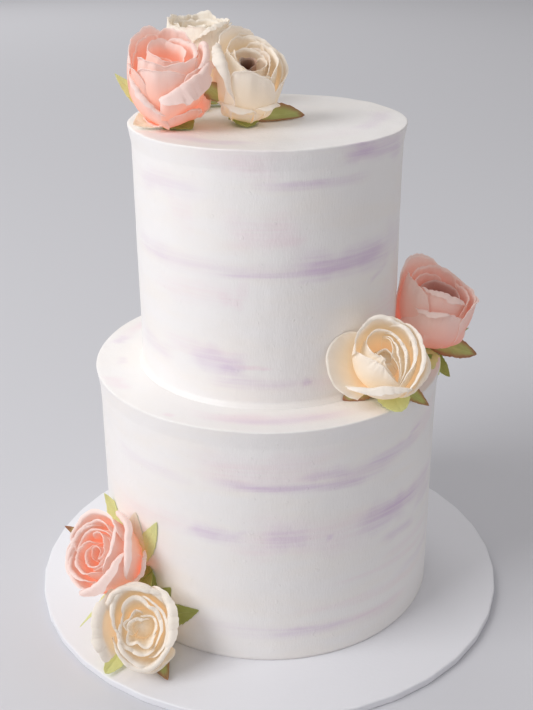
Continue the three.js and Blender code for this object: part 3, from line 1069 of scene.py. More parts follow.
@dataclass(frozen=True)
class Leaf:
    """One leaf of the calyx, folded along its rib, that springs from the cup and arches out to its tip.

    turn, reach and height place the tip: its angle round the bloom in degrees, its distance from the axis
    and its height. arch is how far the middle hangs below the straight line, and twist turns the leaf about
    its rib. A low point gives the leaf a blunt tip.
    """

    turn: float
    reach: float
    height: float
    half_width: float
    arch: float = 2.0
    twist: float = 0.0
    tone: LeafTone = GREEN
    point: float = 0.85
    foot: tuple[float, float] = (2.4, -2.1)
    rows: int = 34
    columns: int = 15

    def grid(self, seed: int) -> tuple[Array, Array, dict[str, Array]]:
        """Builds the leaf's middle surface.

        Args:
            seed: Seeds its toothed edge.

        Returns:
            The points, their places on the flat cloth, and the numbers that the finish reads.
        """
        u = np.linspace(-1, 1, self.columns)[None, :]
        v = np.linspace(0, 1, self.rows)[:, None]
        start, end = np.array(self.foot), np.array((self.reach, self.height))
        length = float(np.linalg.norm(end - start))
        below = np.array((end[1] - start[1], start[0] - end[0])) / length
        bend = (start + end) / 2 + 2 * self.arch * below
        rib = (1 - v) ** 2 * start + 2 * v * (1 - v) * bend + v**2 * end
        ahead = unit(np.gradient(rib, axis=0))
        outline = 0.12 * (1 - v) + np.sin(math.pi * v**0.9) ** self.point * (1 - 0.2 * v)
        teeth = 1 - 0.1 * np.mod(v * 9 + 0.3 * np.sign(u), 1) * smooth(0.25, 0.4, v) * (1 - smooth(0.9, 1, v))
        side = u * self.half_width * outline * teeth
        flutter = 0.35 * np.abs(u) * Wobble(seed + 1, 4.0, 3)(v + 0.1 * u) * outline
        wave = 0.5 * Wobble(seed, 1.2, 3)(v) + flutter
        lift = 0.2 * np.abs(side) + wave * smooth(0.0, 0.2, v)
        turned = np.radians(self.twist) * v
        over = side * np.sin(turned) + lift * np.cos(turned)
        radius = rib[:, :1] - ahead[:, 1:] * over
        height = rib[:, 1:] + ahead[:, :1] * over
        across = side * np.cos(turned) - lift * np.sin(turned)
        aim = math.radians(self.turn)
        east = radius * math.cos(aim) - across * math.sin(aim)
        north = radius * math.sin(aim) + across * math.cos(aim)
        points = np.stack([east, north, height], -1)
        young, bronzed, paled = self.tone.value
        veins = 0.5 * smooth(0.75, 1.0, np.abs(np.sin(math.pi * (v * 8 - 1.2 * np.abs(u)))))
        values = {
            "young": young + 0 * side,
            "bronzed": bronzed + 0 * side,
            "paled": paled + 0 * side,
            "edge": np.clip(np.maximum(np.abs(u) + 0 * v, smooth(0.75, 1.0, v)), 0, 1),
            "rib": np.maximum(np.exp(-((u / 0.12) ** 2)) + 0 * v, veins),
        }
        return points, np.stack([side, length * v + 0 * u], -1), values


# ---- Roses ----------------------------------------------------------------------------------------------


@dataclass
class Rose:
    """One rose: its petals, and the cup and leaves under it.

    foot is where the bloom starts. heading is the compass angle of its axis from +X in plan, and rise is its
    slope above the level. deep scales the shade painted on petals that lie far inside the bloom. cup is the
    outline of the cup, as distances from the axis and heights.
    """

    name: str
    slot: str
    foot: tuple[float, float, float]
    heading: float
    rise: float
    painted_shade_scale: float
    petals: tuple[Petal, ...]
    leaves: tuple[Leaf, ...]
    seed: int
    petal_thick: float = 0.34
    leaf_thick: float = 0.4
    cup: tuple[tuple[float, float], ...] = (
        (0.4, -3.7), (2.0, -3.7), (2.8, -3.3), (4.0, -1.6), (4.5, -0.4), (4.2, -0.15), (0.4, -0.15)
    )

    def axes(self) -> Array:
        """Gives the bloom's frame.

        Returns:
            Its three axes as rows. The third runs up the middle of the bloom.
        """
        axis = aimed(self.heading, self.rise)
        side = (Vector((1, 0, 0)) - axis * axis.x).normalized()
        return np.array([side, axis.cross(side), axis])

    def placed(self, points: Array) -> Array:
        """Moves points from the bloom's frame to the cake's."""
        return points @ self.axes() + np.array(self.foot)

    def build(self, cloth: Material, green: Material, keepout: Keepout) -> None:
        """Builds the bloom and its calyx.

        Args:
            cloth: The finish of the petals.
            green: The finish of the cup and the leaves.
            keepout: What the cloth may not enter.
        """
        bloom = Cloth(f"bloom_{self.name}")
        for k, petal in enumerate(self.petals):
            points, places, values = petal.grid(self.seed * 100 + k * 7)
            # Painted shade: scales how dark the petals far inside this bloom are painted.
            values["depth"] = values["depth"] * self.painted_shade_scale
            bloom.sheet(keepout.clear(self.placed(points)), places, self.petal_thick, values)
        settle(bloom.made(cloth), f"rose_{self.name}")
        calyx = Cloth(f"calyx_{self.name}")
        self._cup(calyx)
        for k, leaf in enumerate(self.leaves):
            points, places, values = leaf.grid(self.seed * 10 + k)
            calyx.sheet(keepout.clear(self.placed(points)), places, self.leaf_thick, values)
        settle(calyx.made(green), f"leaves_{self.name}")

    def _cup(self, calyx: Cloth) -> None:
        """Adds the small green cup that holds the bloom.

        Args:
            calyx: The cloth of the cup and the leaves.
        """
        outline = np.array(self.cup)
        aim = np.linspace(0, 2 * math.pi, 24, endpoint=False)[None, :]
        radius, height = outline[:, :1] * (1 + 0.05 * np.sin(5 * aim)), outline[:, 1:] + 0 * aim
        grid = np.stack([radius * np.cos(aim), radius * np.sin(aim), height], -1)
        none = 0 * height
        values = {"young": none + 0.2, "bronzed": none + 0.1, "paled": none, "edge": none, "rib": none}
        calyx.turned(self.placed(grid), np.stack([radius * aim, height], -1), values)


# ---- Studio ---------------------------------------------------------------------------------------------


@dataclass(frozen=True)
class Lamp:
    """A soft square lamp that faces the cake from a compass angle off the front, positive to the right.

    width, distance and aim, the height that it faces, are in metres. slope is its angle above the level.
    """

    name: str
    power: float
    width: float
    angle: float
    slope: float
    distance: float
    aim: float = 0.15

    def hang(self) -> None:
        """Hangs the lamp."""
        light = bpy.data.lights.new(self.name, "AREA")
        light.energy = self.power
        light.size = self.width
        lamp = added(self.name, light)
        away = aimed(self.angle - 90, self.slope)
        lamp.location = Vector((0, 0, self.aim)) + away * self.distance
        lamp.rotation_euler = away.to_track_quat("Z", "Y").to_euler()


@dataclass
class Studio:
    """The floor, the soft lights and the camera."""

    floor_radius: float = 9.0
    floor_sides: int = 96
    floor_gap: float = 0.00002
    eye: tuple[float, float, float] = (0.0, -0.59181, 0.42434)
    pitch: float = 24.264
    yaw: float = -0.108
    roll: float = -0.311
    lens: float = 52.35
    sky: tuple[float, float, float, float] = (1.0, 0.985, 0.985, 1.0)
    surround: float = 0.42
    lamps: tuple[Lamp, ...] = (
        Lamp("key", 42.0, 1.5, -62.0, 37.0, 2.6),
        Lamp("side", 1.5, 1.8, 84.0, 18.0, 2.4),
        Lamp("far", 29.0, 2.5, -158.0, 28.0, 4.2),
    )

    def build(self) -> None:
        """Builds the floor, the lights and the camera."""
        self._floor()
        for lamp in self.lamps:
            lamp.hang()
        self._world()
        self._camera()

    def _floor(self) -> None:
        """Builds a plain round floor that the board stands on."""
        sides = self.floor_sides
        aim = np.linspace(0, 2 * math.pi, sides, endpoint=False)
        ring = np.stack([np.cos(aim), np.sin(aim), 0 * aim], -1)
        points = np.concatenate([0.2 * ring, self.floor_radius * ring]) - (0, 0, self.floor_gap)
        faces = [[k, sides + k, sides + (k + 1) % sides, (k + 1) % sides] for k in range(sides)]
        faces.append(list(range(sides)))
        mesh = bpy.data.meshes.new("floor")
        mesh.from_pydata(points.tolist(), [], faces)
        mesh.materials.append(FloorFinish().material())
        floor = added("floor", mesh)

    def _world(self) -> None:
        """Sets an even pale surround."""
        world = bpy.data.worlds.new("surround")
        world.use_nodes = True
        sky = world.node_tree.nodes["Background"]
        sky.inputs["Color"].default_value = self.sky
        sky.inputs["Strength"].default_value = self.surround
        bpy.context.scene.world = world
        bpy.context.scene.view_settings.view_transform = "Standard"

    def _camera(self) -> None:
        """Places the camera, which looks down at the cake's front."""
        pitch, yaw, roll = (math.radians(angle) for angle in (self.pitch, self.yaw, self.roll))
        ahead = Vector((math.sin(yaw) * math.cos(pitch), math.cos(yaw) * math.cos(pitch), -math.sin(pitch)))
        right = Vector((math.cos(yaw), -math.sin(yaw), 0))
        up = right.cross(ahead)
        side = right * math.cos(roll) + up * math.sin(roll)
        top = up * math.cos(roll) - right * math.sin(roll)
        data = bpy.data.cameras.new("camera")
        data.lens = self.lens
        data.clip_end = 50
        camera = added("camera", data)
        camera.matrix_world = Matrix.Translation(self.eye) @ Matrix((side, top, -ahead)).transposed().to_4x4()
        bpy.context.scene.camera = camera


# ---- The cake -------------------------------------------------------------------------------------------


BLUSH = PetalFinish(
    "petal_blush",
    heart=linear(255, 186, 155),
    body=linear(255, 221, 209),
    rim=linear(255, 248, 246),
    hollow_shade=linear(248, 150, 112),
    painted_glow=0.24,
)
DUSK = PetalFinish(
    "petal_dusk",
    heart=linear(242, 174, 156),
    body=linear(255, 226, 217),
    rim=linear(255, 244, 239),
    hollow_shade=linear(128, 34, 18),
    painted_glow=0.17,
    fade=(0.22, 0.86),
)
CREAM = PetalFinish(
    "petal_cream",
    heart=linear(252, 228, 194),
    body=linear(255, 246, 232),
    rim=linear(255, 251, 246),
    hollow_shade=linear(158, 82, 26),
    painted_glow=0.17,
    fade=(0.1, 0.66),
)
IVORY = PetalFinish(
    "petal_ivory",
    heart=linear(250, 224, 184),
    body=linear(255, 248, 236),
    rim=linear(255, 252, 247),
    hollow_shade=linear(226, 190, 140),
    painted_glow=0.14,
)
LEAF = LeafFinish(
    "leaf", linear(156, 162, 88), linear(230, 232, 172), linear(172, 100, 92), linear(252, 240, 240)
)

# The narrow lip of a petal whose cloth hardly turns back.
HEM = (0.5, 1.5, 0.5)


def whorl(spin: float, tall: float, reaches: tuple[float, ...], span: float = 95.0) -> tuple[Petal, ...]:
    """Gives the nested petals in the middle of a bloom.

    Args:
        spin: Where the innermost petal lies, in degrees.
        tall: The height of their rims.
        reaches: The distance of each rim from the axis, from the inside out.
        span: The half width of a petal in degrees.

    Returns:
        The petals from the inside out.
    """
    bud = (tall - 5, tall - 4, tall - 5)
    # The bud and the inner petals carry the most painted shade, less towards the outside.
    petals = [Petal(spin, 178, bud, (0.4, 0.6, 0.4), (8, 9, 8), 0.5, ruffle=0.1, fray=0, drop=0, depth=1.0)]
    for order, reach in enumerate(reaches):
        share = order / len(reaches)
        petals.append(
            Petal(
                spin + GOLDEN_TURN * order,
                mix(170, span, min(order, 1)),
                (tall - 1.5, tall + 0.5, tall, tall - 1),
                (reach, reach + 0.6, reach + 1.8),
                (reach + 1.6, reach + 2.6, reach + 3.4),
                (0.8, 1.6 + share, 0.8),
                fray=0.006,
                depth=1 - share,
            )
        )
    return tuple(petals)


# In the petal tables, depth paints shade on a petal that lies far inside the bloom.
UPPER_PINK = Rose("upper_pink", "petal_blush", (-55.4, -17.1, 309.6), -81, 70, 0.5, petals=(
    Petal(60, 200, (29, 31, 33, 34), (2.5, 4, 6, 7.5), (4, 6, 8, 10), 0.6, depth=1.0),
    Petal(80, 105, (34, 33.5, 34.5, 36.5, 38.5), (9.5, 10, 10, 9.5, 9.5), (11, 12, 12), (2, 5, 5.5, 5, 3),
          roll=5, bend=50, depth=0.8),
    Petal(-92, 75, (42, 41, 38.5, 36.5, 35), (10.5, 10.5, 10, 9.5, 9), (12.5, 12.5, 12),
          (1, 1.5, 2, 1.5, 0.5), depth=0.6),
    Petal(30, 68, (36.5, 36.5, 37.5, 38, 37.5), (15, 14.5, 14.5, 14.5, 14), 16, (1.5, 3, 4, 3, 1),
          depth=0.3),
    Petal(-65, 60, (38.5, 37, 38.5, 39.5, 38), (13, 13, 14, 16, 17.5), (15, 15.5, 16), (1, 1.2, 1.2),
          depth=0.3),
    Petal(-114, 42, (38, 39, 38, 37), (15.5, 14.5, 14, 13.5), (16.5, 16.5, 16), (2.5, 2, 1.2, 1), depth=0.2),
    Petal(-93, 58, (31.5, 35, 36, 35, 30), (18, 16.5, 16, 16.5, 17.5), 17.5, (1.5, 2, 1, 1, 1.2), depth=0.3),
    Petal(145, 44, (39, 40, 39.5, 37.5, 35), (16.5, 17, 17, 17, 17), 17.5, HEM),
    Petal(80, 38, (38.5, 41.5, 42, 41, 38), (18, 18.5, 18.5, 18.5, 18), (18, 18.5, 18.5), HEM),
    Petal(20, 46, (37.5, 36, 35.5, 37, 39), (17, 17, 18, 18.5, 19), 18.5, HEM),
    Petal(145, 50, (41, 43, 42, 41, 38), (19.5, 20, 19.5, 19, 19.5), (19, 19.5, 19.5),
          (0.5, 1.5, 1.5, 1, 2)),
    Petal(-15, 46, (32, 34.5, 36.5, 40, 41), (19.5, 19.5, 19.5, 19.5, 20), (19, 19.5, 20),
          (0.8, 1.5, 5, 5.5, 2), drop=0.1),
    Petal(-43, 52, (22, 28, 33, 35.5, 33.5), (19, 20, 21, 21.5, 22.5), (19.5, 20, 20), (6, 13, 13, 8, 7),
          drop=0.08, bend=168, depth=0.4),
    Petal(-128, 43, (34, 33, 29, 20, 8), (19, 18.5, 18, 18, 17), (18, 18, 17.5), (4, 2, 1, 1, 0.5),
          drop=0.08, depth=1.25),
    Petal(-128, 46, (28, 26.5, 22, 15.5, 8), (19.5, 19, 19, 19, 18), (18.5, 18.5, 18), (1, 4, 5.5, 5, 2),
          drop=0.05, bend=165),
    Petal(15, 40, (8, 9.5, 9, 7), (21, 23, 23.5, 21), (15, 17, 15), HEM),
    Petal(-58, 29, (8, 12, 14.5, 13), (18, 20, 21.5, 22), (17, 18, 18), (1, 2, 2.5, 3), depth=1.2),
    Petal(-105, 25, (9, 7, 6, 6), (18, 19, 19, 17), 14, HEM, depth=1.2),
), leaves=(
    Leaf(156, 32, 18.5, 5, 1, -60, LIME),
    Leaf(-46, 21, 3, 10, 0),
    Leaf(-147, 21, 1, 10, -1, 0, PALE),
    Leaf(42, 26, 9, 7, 2, 0, BRONZE),
), seed=1)
UPPER_CREAM = Rose("upper_cream", "petal_cream", (-15, -5.8, 309.2), -66, 64, 1.2, petals=(
    *whorl(60, 32.5, (3, 5.5, 8, 10.5)),
    Petal(30, 75, (34, 34.5, 34), (12.7, 10.5, 10, 11.5, 13), (12.5, 12.5, 13), depth=0.6),
    Petal(110, 60, (36, 38, 37), (12, 15, 16.5, 15, 13), (14, 16, 14), HEM, depth=0.4),
    Petal(25, 80, (33, 35.5, 36.5, 36, 37), (16.5, 14.5, 13.5, 14, 14.5), 15, depth=0.3),
    Petal(-124, 90, (38, 37.5, 36, 35, 33.5), (11, 9.5, 10.5, 14.5, 15.7), (13, 13, 15.5), (1, 1.5, 1.5),
          depth=0.4),
    Petal(-118, 75, (39, 39, 37.5, 35.5, 32), (14, 13, 13.5, 16.5, 17.5), (16, 15.5, 16.5), (1, 1.5, 1),
          depth=0.2),
    Petal(40, 70, (27, 31, 34.5, 37.5, 39.5), (18, 17.5, 17, 17, 17), 17, (1, 2, 1.5), depth=0.1),
    Petal(52, 72, (27, 30, 33.5, 37, 40), (18.8, 18.5, 18.5, 18.5, 18.5), 17.6),
    Petal(124, 44, (37, 41, 42, 41, 39), (19, 20, 20, 19.5, 18.5), (18, 18.5, 18), HEM),
    Petal(12, 66, (24, 29, 31.5, 33, 34), (20, 20, 20.2, 20, 19), 18, (1, 1.5, 2, 1.5, 1)),
    Petal(-83, 42, (33, 38, 37.3, 34.5, 27), (19, 18, 18, 18, 20), 19, (1, 2.5, 1.5, 1.5, 1)),
    Petal(-155, 46, (35, 38, 39, 37, 15), (17, 17, 17, 18.5, 19.5), 17.5, (3, 7, 9.5, 8.5, 4), roll=2.6,
          drop=0.05, bend=140),
    Petal(-104, 32, (13, 15, 15, 13.5), (17, 17.5, 17.5, 17), 15, (4, 7, 7.5, 4), roll=3.2, bend=110,
          ruffle=0.2, fray=0),
    Petal(-50, 20, (14, 16.5, 17.5, 15), (17, 18.5, 19, 19), 16, (2, 6, 6, 3), roll=3, bend=110, ruffle=0.2,
          fray=0),
), leaves=(
    Leaf(-150, 30, 26, 8, -2, 115, BRONZE),
    Leaf(-81, 20.5, 6.5, 9, 0),
    Leaf(12, 38, 0, 9, -1, 25, BRONZE),
    Leaf(85, 26, -2, 5),
), seed=2)
UPPER_IVORY = Rose("upper_ivory", "petal_ivory", (-40.8, 34.3, 310), 60, 86, 0.3, petals=(
    *whorl(65, 40.5, (3, 5.5, 8)),
    Petal(-90, 75, (39.5, 40.5, 40, 39), (11, 10.5, 11), 13, (1, 1.5, 1), depth=0.3),
    Petal(75, 85, (42, 43.5, 43), (11.5, 12.5, 11.5), (13, 13.5, 13), depth=0.3),
    Petal(170, 60, (41, 43, 42, 43), (14, 14.5, 14), (15, 15.5, 15), ruffle=1, depth=0.1),
    Petal(82, 50, (44, 45.5, 48.6, 46, 44.5), (15, 16, 17.5, 17, 16.5), (16, 17, 17), HEM,
          ruffle=1.2),
    Petal(128, 36, (44, 46.6, 45, 46.4, 44.5), (16.5, 17.5, 17), (16.5, 17, 17), HEM,
          ruffle=1.2),
    Petal(174, 36, (43, 46, 45.6, 44.5, 42), (16.5, 17.5, 17.5), (17, 17.5, 17.5), HEM,
          ruffle=1.2),
    Petal(20, 55, (41, 44, 44.5, 44, 43), (16.5, 17.5, 16.5), (17, 17.5, 17), ruffle=1),
    Petal(-112, 60, (42, 41, 40.5, 41.5, 38), (17.5, 17, 17, 17.5, 18), 17.5, (1, 1.5, 1)),
    Petal(-62, 36, (32, 37, 42, 43.5, 42), (17.5, 17.5, 18, 18.5, 18), (17.5, 18, 18), (2, 4.5, 6, 5, 2)),
    Petal(-20, 40, (38, 41, 43, 42), (17.5, 18.5, 18), (17.5, 18, 17.5)),
), leaves=(
    Leaf(20, 28, 2, 6),
    Leaf(92, 29, 2, 6),
    Leaf(165, 27, 3, 6, 2, 0, LIME),
    Leaf(-90, 20, 0, 5),
), seed=3)
LEDGE_PINK = Rose("ledge_pink", "petal_dusk", (98.3, 2, 164.6), -60, 75, 1.1, petals=(
    *whorl(60, 33, (3.5, 8)),
    Petal(60, 85, (36, 37, 37), (12.5, 12, 12), (13, 13.5, 13), depth=0.7),
    Petal(-115, 85, (38, 39, 38), (9, 8.5, 9), 12, (1, 1.5, 1), depth=0.6),
    Petal(150, 80, (40, 42, 41, 39), (14.5, 14.5, 15), 16, (1, 1.5, 1), depth=0.4),
    Petal(100, 60, (40, 43, 44, 43), (18, 18, 18.5), 18, depth=0.2),
    Petal(70, 62, (32, 36.5, 40, 42.5, 44), (22, 22, 21.5, 21, 20), 20),
    Petal(128, 52, (40, 46, 49.5, 48.5, 42), (22.5, 23.5, 24, 24, 24), (21, 22, 22), (1, 2, 2.5, 2, 1)),
    Petal(-88, 70, (44, 45, 45, 41, 32), (14, 13, 13, 14.5, 17.5), (16, 16, 17), (1, 5, 7, 6, 2), bend=165),
    Petal(12, 62, (34, 37, 37, 36, 36), (18, 18, 18, 18.5, 19), 18, depth=0.1),
    Petal(15, 56, (36, 37.5, 37, 36.5, 37), 22, 20.5),
    Petal(-155, 48, (46, 48, 47, 44.5, 30), (20.5, 20.5, 18.5, 18, 18), (21, 20, 19), HEM,
          drop=0.05),
    Petal(-14, 42, (33, 38, 37.5, 35, 31), (22, 22.8, 22.8, 22, 21.5), (21, 21.5, 21), (1, 2.5, 1)),
    Petal(-122, 50, (22, 30, 34.5, 36, 36), (19, 19.5, 20, 20.5, 20.5), (21, 21, 20.5), (0.5, 1, 5, 6, 2)),
    Petal(-70, 40, (35, 36, 34, 31, 25), (20.5, 20.5, 21, 21.5, 22), 21, HEM),
    Petal(-165, 40, (14, 17, 15), (20, 22, 20), (16, 17, 16), (1, 3, 1)),
), leaves=(
    Leaf(-4, 34, -3, 12, -1, 10, BRONZE),
    Leaf(-62, 29, -5, 6.5),
    Leaf(150, 33, 36, 3, 4),
    Leaf(-30, 24, 23, 3.5, 2),
    Leaf(-88, 31, -1, 8, 1, 0, LIME),
), seed=4)
LEDGE_CREAM = Rose("ledge_cream", "petal_cream", (65.2, -55.6, 171.2), -93, 40, 0.62, petals=(
    *whorl(150, 35, (3,)),
    Petal(12, 82, (31, 34, 35, 35, 34), (16, 6, 3.5, 6, 12), (15, 12, 13), (0.5, 1.5, 1), ruffle=0.3,
          depth=0.7),
    Petal(12, 82, (31, 35, 36, 36, 35), (16.5, 8.5, 6, 8, 13), (15, 13, 14), (0.5, 2.5, 1), ruffle=0.3,
          depth=0.5),
    Petal(10, 80, (32, 35.5, 37, 37, 36), (17, 11.5, 9.5, 10.5, 14), (16, 14, 15), (0.5, 3, 1), ruffle=0.3,
          depth=0.3),
    Petal(-145, 79, (35, 37, 38, 37, 33), (15, 6.5, 3.2, 4.5, 12), (15, 13, 15), (1.5, 1.5, 0.5), ruffle=0.2,
          depth=0.4),
    Petal(65, 95, (33, 36, 37, 36.5, 35), (13, 11, 11.5, 14, 12.5), 14, depth=0.5),
    Petal(-130, 66, (34, 36.5, 38, 37, 33), (16.5, 8.5, 7, 8.5, 16.5), (17.5, 15.5, 17.5), (1, 1.2, 1),
          ruffle=0.2),
    Petal(8, 74, (33, 37, 38, 38.5, 38), (17.5, 14.5, 14.5, 16.5, 18), (17, 16.5, 17), (1, 2, 4, 3, 1.5),
          depth=0.1),
    Petal(100, 70, (36, 38.5, 40, 40, 37), (15.5, 17.5, 19.8, 18.5, 16.3), (16, 17, 17), (1, 2, 3, 2, 1)),
    Petal(0, 66, (31, 36.5, 38, 38, 37), (23, 19.5, 18.7, 20, 20.8), 19, (1, 3, 3, 1)),
    Petal(-22, 38, (20, 26, 30, 31, 30), (22.5, 22.5, 22.5, 22, 21), (18, 19, 19), (1, 3, 1)),
    Petal(80, 50, (34, 36, 37, 36), (19.5, 21, 20.5), (18.5, 19, 19), ruffle=1.0),
    Petal(-98, 48, (33, 35, 36, 35, 33), (26.5, 21, 17.5, 18, 22.5), (19, 19.5, 19.5), (2, 5, 6, 5.5, 2),
          bend=120, ruffle=0.3, fray=0.005),
    Petal(-178, 52, (26, 28, 28, 26.5, 23), (22, 29, 30.5, 30.5, 26), (16, 18, 18), (1, 1.5, 1), drop=0.05,
          ruffle=0.8),
), leaves=(
    Leaf(-71, 28, 15, 11, 0, 0, LIME, point=0.4),
    Leaf(-143, 29, 4, 9, -1, 0, BRONZE),
    Leaf(-39, 33, 4, 6, -1, 0, BRONZE),
    Leaf(57, 32, 5, 6, 2),
    Leaf(86, 31, 7, 5, 2),
), seed=5)
FOOT_PINK = Rose("foot_pink", "petal_blush", (-84.3, -68.1, 47.8), -134, 40, 0.6, petals=(
    *whorl(60, 32, (3, 6.5, 10, 13.5)),
    Petal(25, 88, (33.5, 35, 34), (6, 7.5, 9, 12, 11.5), (10, 11, 13), depth=0.6),
    Petal(150, 45, (33.5, 34.5, 34), (7, 10, 14.5), (10, 12, 14), depth=0.6),
    Petal(-95, 80, (32, 33.5, 33), (8.5, 8, 9), (11, 11, 12), depth=0.5),
    Petal(-140, 70, (33, 34, 33.5), (13.5, 12.5, 12), 14, (1, 2.5, 1), depth=0.4),
    Petal(105, 70, (33.5, 35, 34.5), (15, 17.5, 18.3, 18.3, 14.2), 16, depth=0.3),
    Petal(0, 70, (32, 34.5, 35, 34, 30), (14.5, 12, 13, 16.5, 22), (15, 15, 17), (1, 3, 4, 3.5, 1),
          depth=0.1),
    Petal(-150, 55, (33, 34, 34), (16.5, 17.3, 17.3, 17, 16), (17, 17, 16), (1, 3, 1), depth=0.2),
    Petal(150, 60, (34, 35, 34.5), (17, 17.5, 18.5), (16.5, 17, 17.5), (1, 3, 1), depth=0.1),
    Petal(90, 70, (33, 35, 36, 35.5, 34), (18, 21, 23, 22.5, 21), (18, 19.5, 19.5), (1.5, 3, 3, 1.5)),
    Petal(12, 60, (20, 30, 31, 31, 31), (19.5, 20, 20.5, 24, 26), (18, 18, 19.5), (2, 6, 6.5, 6, 2)),
    Petal(-158, 60, (34, 35, 34, 33, 30), (19.2, 19.5, 19.5, 20, 21), 18.5, (1.5, 3, 1.5)),
    Petal(-62, 62, (33, 34.5, 34.5, 33, 30), (24, 20, 17, 16.5, 18.5), 18.5, (4, 8, 8, 7, 3)),
    Petal(-20, 30, (14, 16, 14), (20, 22, 20), (16, 17, 16), (2, 4, 2)),
), leaves=(
    Leaf(103, 44, 18, 8, 4, 0, LIME),
    Leaf(147, 48, 19, 7, 4, 0, BRONZE),
    Leaf(50, 38, 16, 10, 3, 0, PALE),
    Leaf(24, 42, 22, 7, 4, 20, LIME),
    Leaf(-132, 48, 8, 4, 2, 40, LIME),
    Leaf(-95, 29, 9, 9, 3),
    Leaf(-40, 29, 9, 8, 3),
), seed=6)
FOOT_CREAM = Rose("foot_cream", "petal_cream", (-77.2, -84.6, 16.9), -84, 36, 0.3, petals=(
    *whorl(60, 32.5, ()),
    Petal(130, 100, (31.5, 32.5, 33, 32), (6, 3, 2.4, 3.8, 5.6, 7, 7.4), (4, 3.2, 5), (1, 2.6, 2.6, 2, 1),
          ruffle=0.4, depth=1.0),
    Petal(10, 78, (31, 32, 32.5), (10.5, 9.2, 8.3, 7.4, 6, 4.2), (8, 7, 5), (1, 2, 2), depth=0.9),
    Petal(-100, 78, (31, 33, 32), (8, 7, 11.5, 9, 12.5, 10, 9), (6.5, 8, 7.5), (1, 2, 2, 1), ruffle=0.4,
          depth=0.8),
    Petal(145, 62, (32, 33.5, 32), (6, 8.6, 7, 8.6, 7.2), (5, 6.5, 5.5), ruffle=0.4, depth=0.8),
    Petal(-140, 86, (33, 34, 33.5), (13, 11, 11, 13, 14, 16, 15), (10.5, 9.5, 12.5), (1, 2.5, 2.5, 1.5),
          depth=0.6),
    Petal(45, 112, (33, 34.5, 35, 34.5, 34), (16.5, 13, 11.2, 10.5, 10.6, 10.2, 14.5, 14.5, 11.2),
          (13, 9.5, 9.5, 11), (1, 2, 3.2, 3, 3, 1.5), depth=0.6),
    Petal(-130, 60, (34, 35.5, 35), (16, 12.6, 15.5, 20, 23.5), (14, 13, 18), (1.5, 3, 3, 2), depth=0.3),
    Petal(10, 85, (34, 35.5, 36), (19, 16, 14, 14, 15.5), (16, 13, 14), (1.5, 2.5, 2), depth=0.4),
    Petal(118, 84, (35, 36.5, 37.5, 36.5, 35), (17.5, 18, 22, 20, 15.8, 14), (16, 16, 14),
          (2, 4, 4.5, 3, 1.5), depth=0.2),
    Petal(90, 66, (36, 38, 38.5), (18.5, 19.3, 19.5, 21.5, 21), 18, (2, 4, 5, 5, 3), ruffle=1.0),
    Petal(-85, 72, (33, 35.5, 35, 36, 36), (17, 20, 22.5, 20, 16.5), (18, 19, 18), (2, 3, 4, 4, 3)),
    Petal(-72, 36, (26, 28, 27), (24, 26, 25), (19, 20, 19)),
    Petal(13, 64, (32, 36, 37.5, 37, 33), (19, 16.8, 16, 18.5, 22), 19, (4, 8, 8, 7, 3), roll=2.5, bend=120),
    Petal(178, 50, (31, 34.5, 35.5, 34.5, 31), (24, 22.5, 21.5, 22.5, 24), 20, (4, 8, 9, 9, 5), roll=4.5,
          bend=130),
), leaves=(
    Leaf(24, 47, 10, 9, 2, 15),
    Leaf(81, 31, 20, 8, 4),
    Leaf(50, 31, 18, 8, 4),
    Leaf(-63, 35, 27, 8, 2, 0, BRONZE),
    Leaf(-127, 34, 22, 8, 2, 0, LIME, point=0.5),
), seed=7)
ROSES = (UPPER_PINK, UPPER_CREAM, UPPER_IVORY, LEDGE_PINK, LEDGE_CREAM, FOOT_PINK, FOOT_CREAM)


UPPER_WALL = (
    Stroke(LILAC, 50, 300, 50, 14, 0.8, -2),
    Stroke(LILAC, 38, 301, 20, 10, 0.4, 2),
    Stroke(LILAC, 20, 286.5, 58, 6, 0.45),
    Stroke(LILAC, 15, 287.5, 24, 4, 0.4),
    Stroke(PINK, -10, 302, 47, 18, 0.22),
    Stroke(PINK, -5, 295, 23, 14, 0.25, -1),
    Stroke(LILAC, -46, 282.5, 49, 14, 0.3, 1),
    Stroke(PINK, -36, 270, 16, 22, 0.18, -5),
    Stroke(PINK, -2, 262, 37, 22, 0.38, -2),
    Stroke(PINK, 8, 258, 20, 12, 0.2),
    Stroke(LILAC, 34, 242, 60, 20, 0.6, 1),
    Stroke(LILAC, 24, 240, 26, 12, 0.5, 1),
    Stroke(LILAC, 44, 243, 34, 16, 0.4, 2),
    Stroke(LILAC, 66, 243, 26, 26, 0.3),
    Stroke(LILAC, 52, 229, 14, 4, 0.4, 3),
    Stroke(LILAC, -26, 240.5, 96, 11, 0.28, -1),
    Stroke(LILAC, -2, 238, 46, 4, 0.45, 0.5),
    Stroke(PINK, -30, 226, 52, 16, 0.26),
    Stroke(PINK, -15, 223, 12, 9, 0.4, -1),
    Stroke(PINK, -10, 229, 7, 16, 0.25, 5),
    Stroke(PINK, 58, 204, 38, 30, 0.35),
    Stroke(PINK, -29, 191.5, 47, 12, 0.28, -1),
    Stroke(LILAC, -22, 186.5, 28, 17, 0.6, -1),
    Stroke(LILAC, -14, 184, 14, 8, 0.4, -1),
    Stroke(PINK, -7, 184.7, 20, 2.4, 0.7),
    Stroke(LILAC, -5, 174.8, 48, 8, 0.4),
    Stroke(PINK, 22, 173.5, 26, 10, 0.3, -0.7),
    Stroke(LILAC, 16, 174.5, 5, 5, 0.8),
    Stroke(LILAC, -58, 184, 34, 12, 0.25, -1),
    Stroke(LILAC, -56, 246, 30, 12, 0.2, -1),
    *loops(51, 175, 300, 14),
)
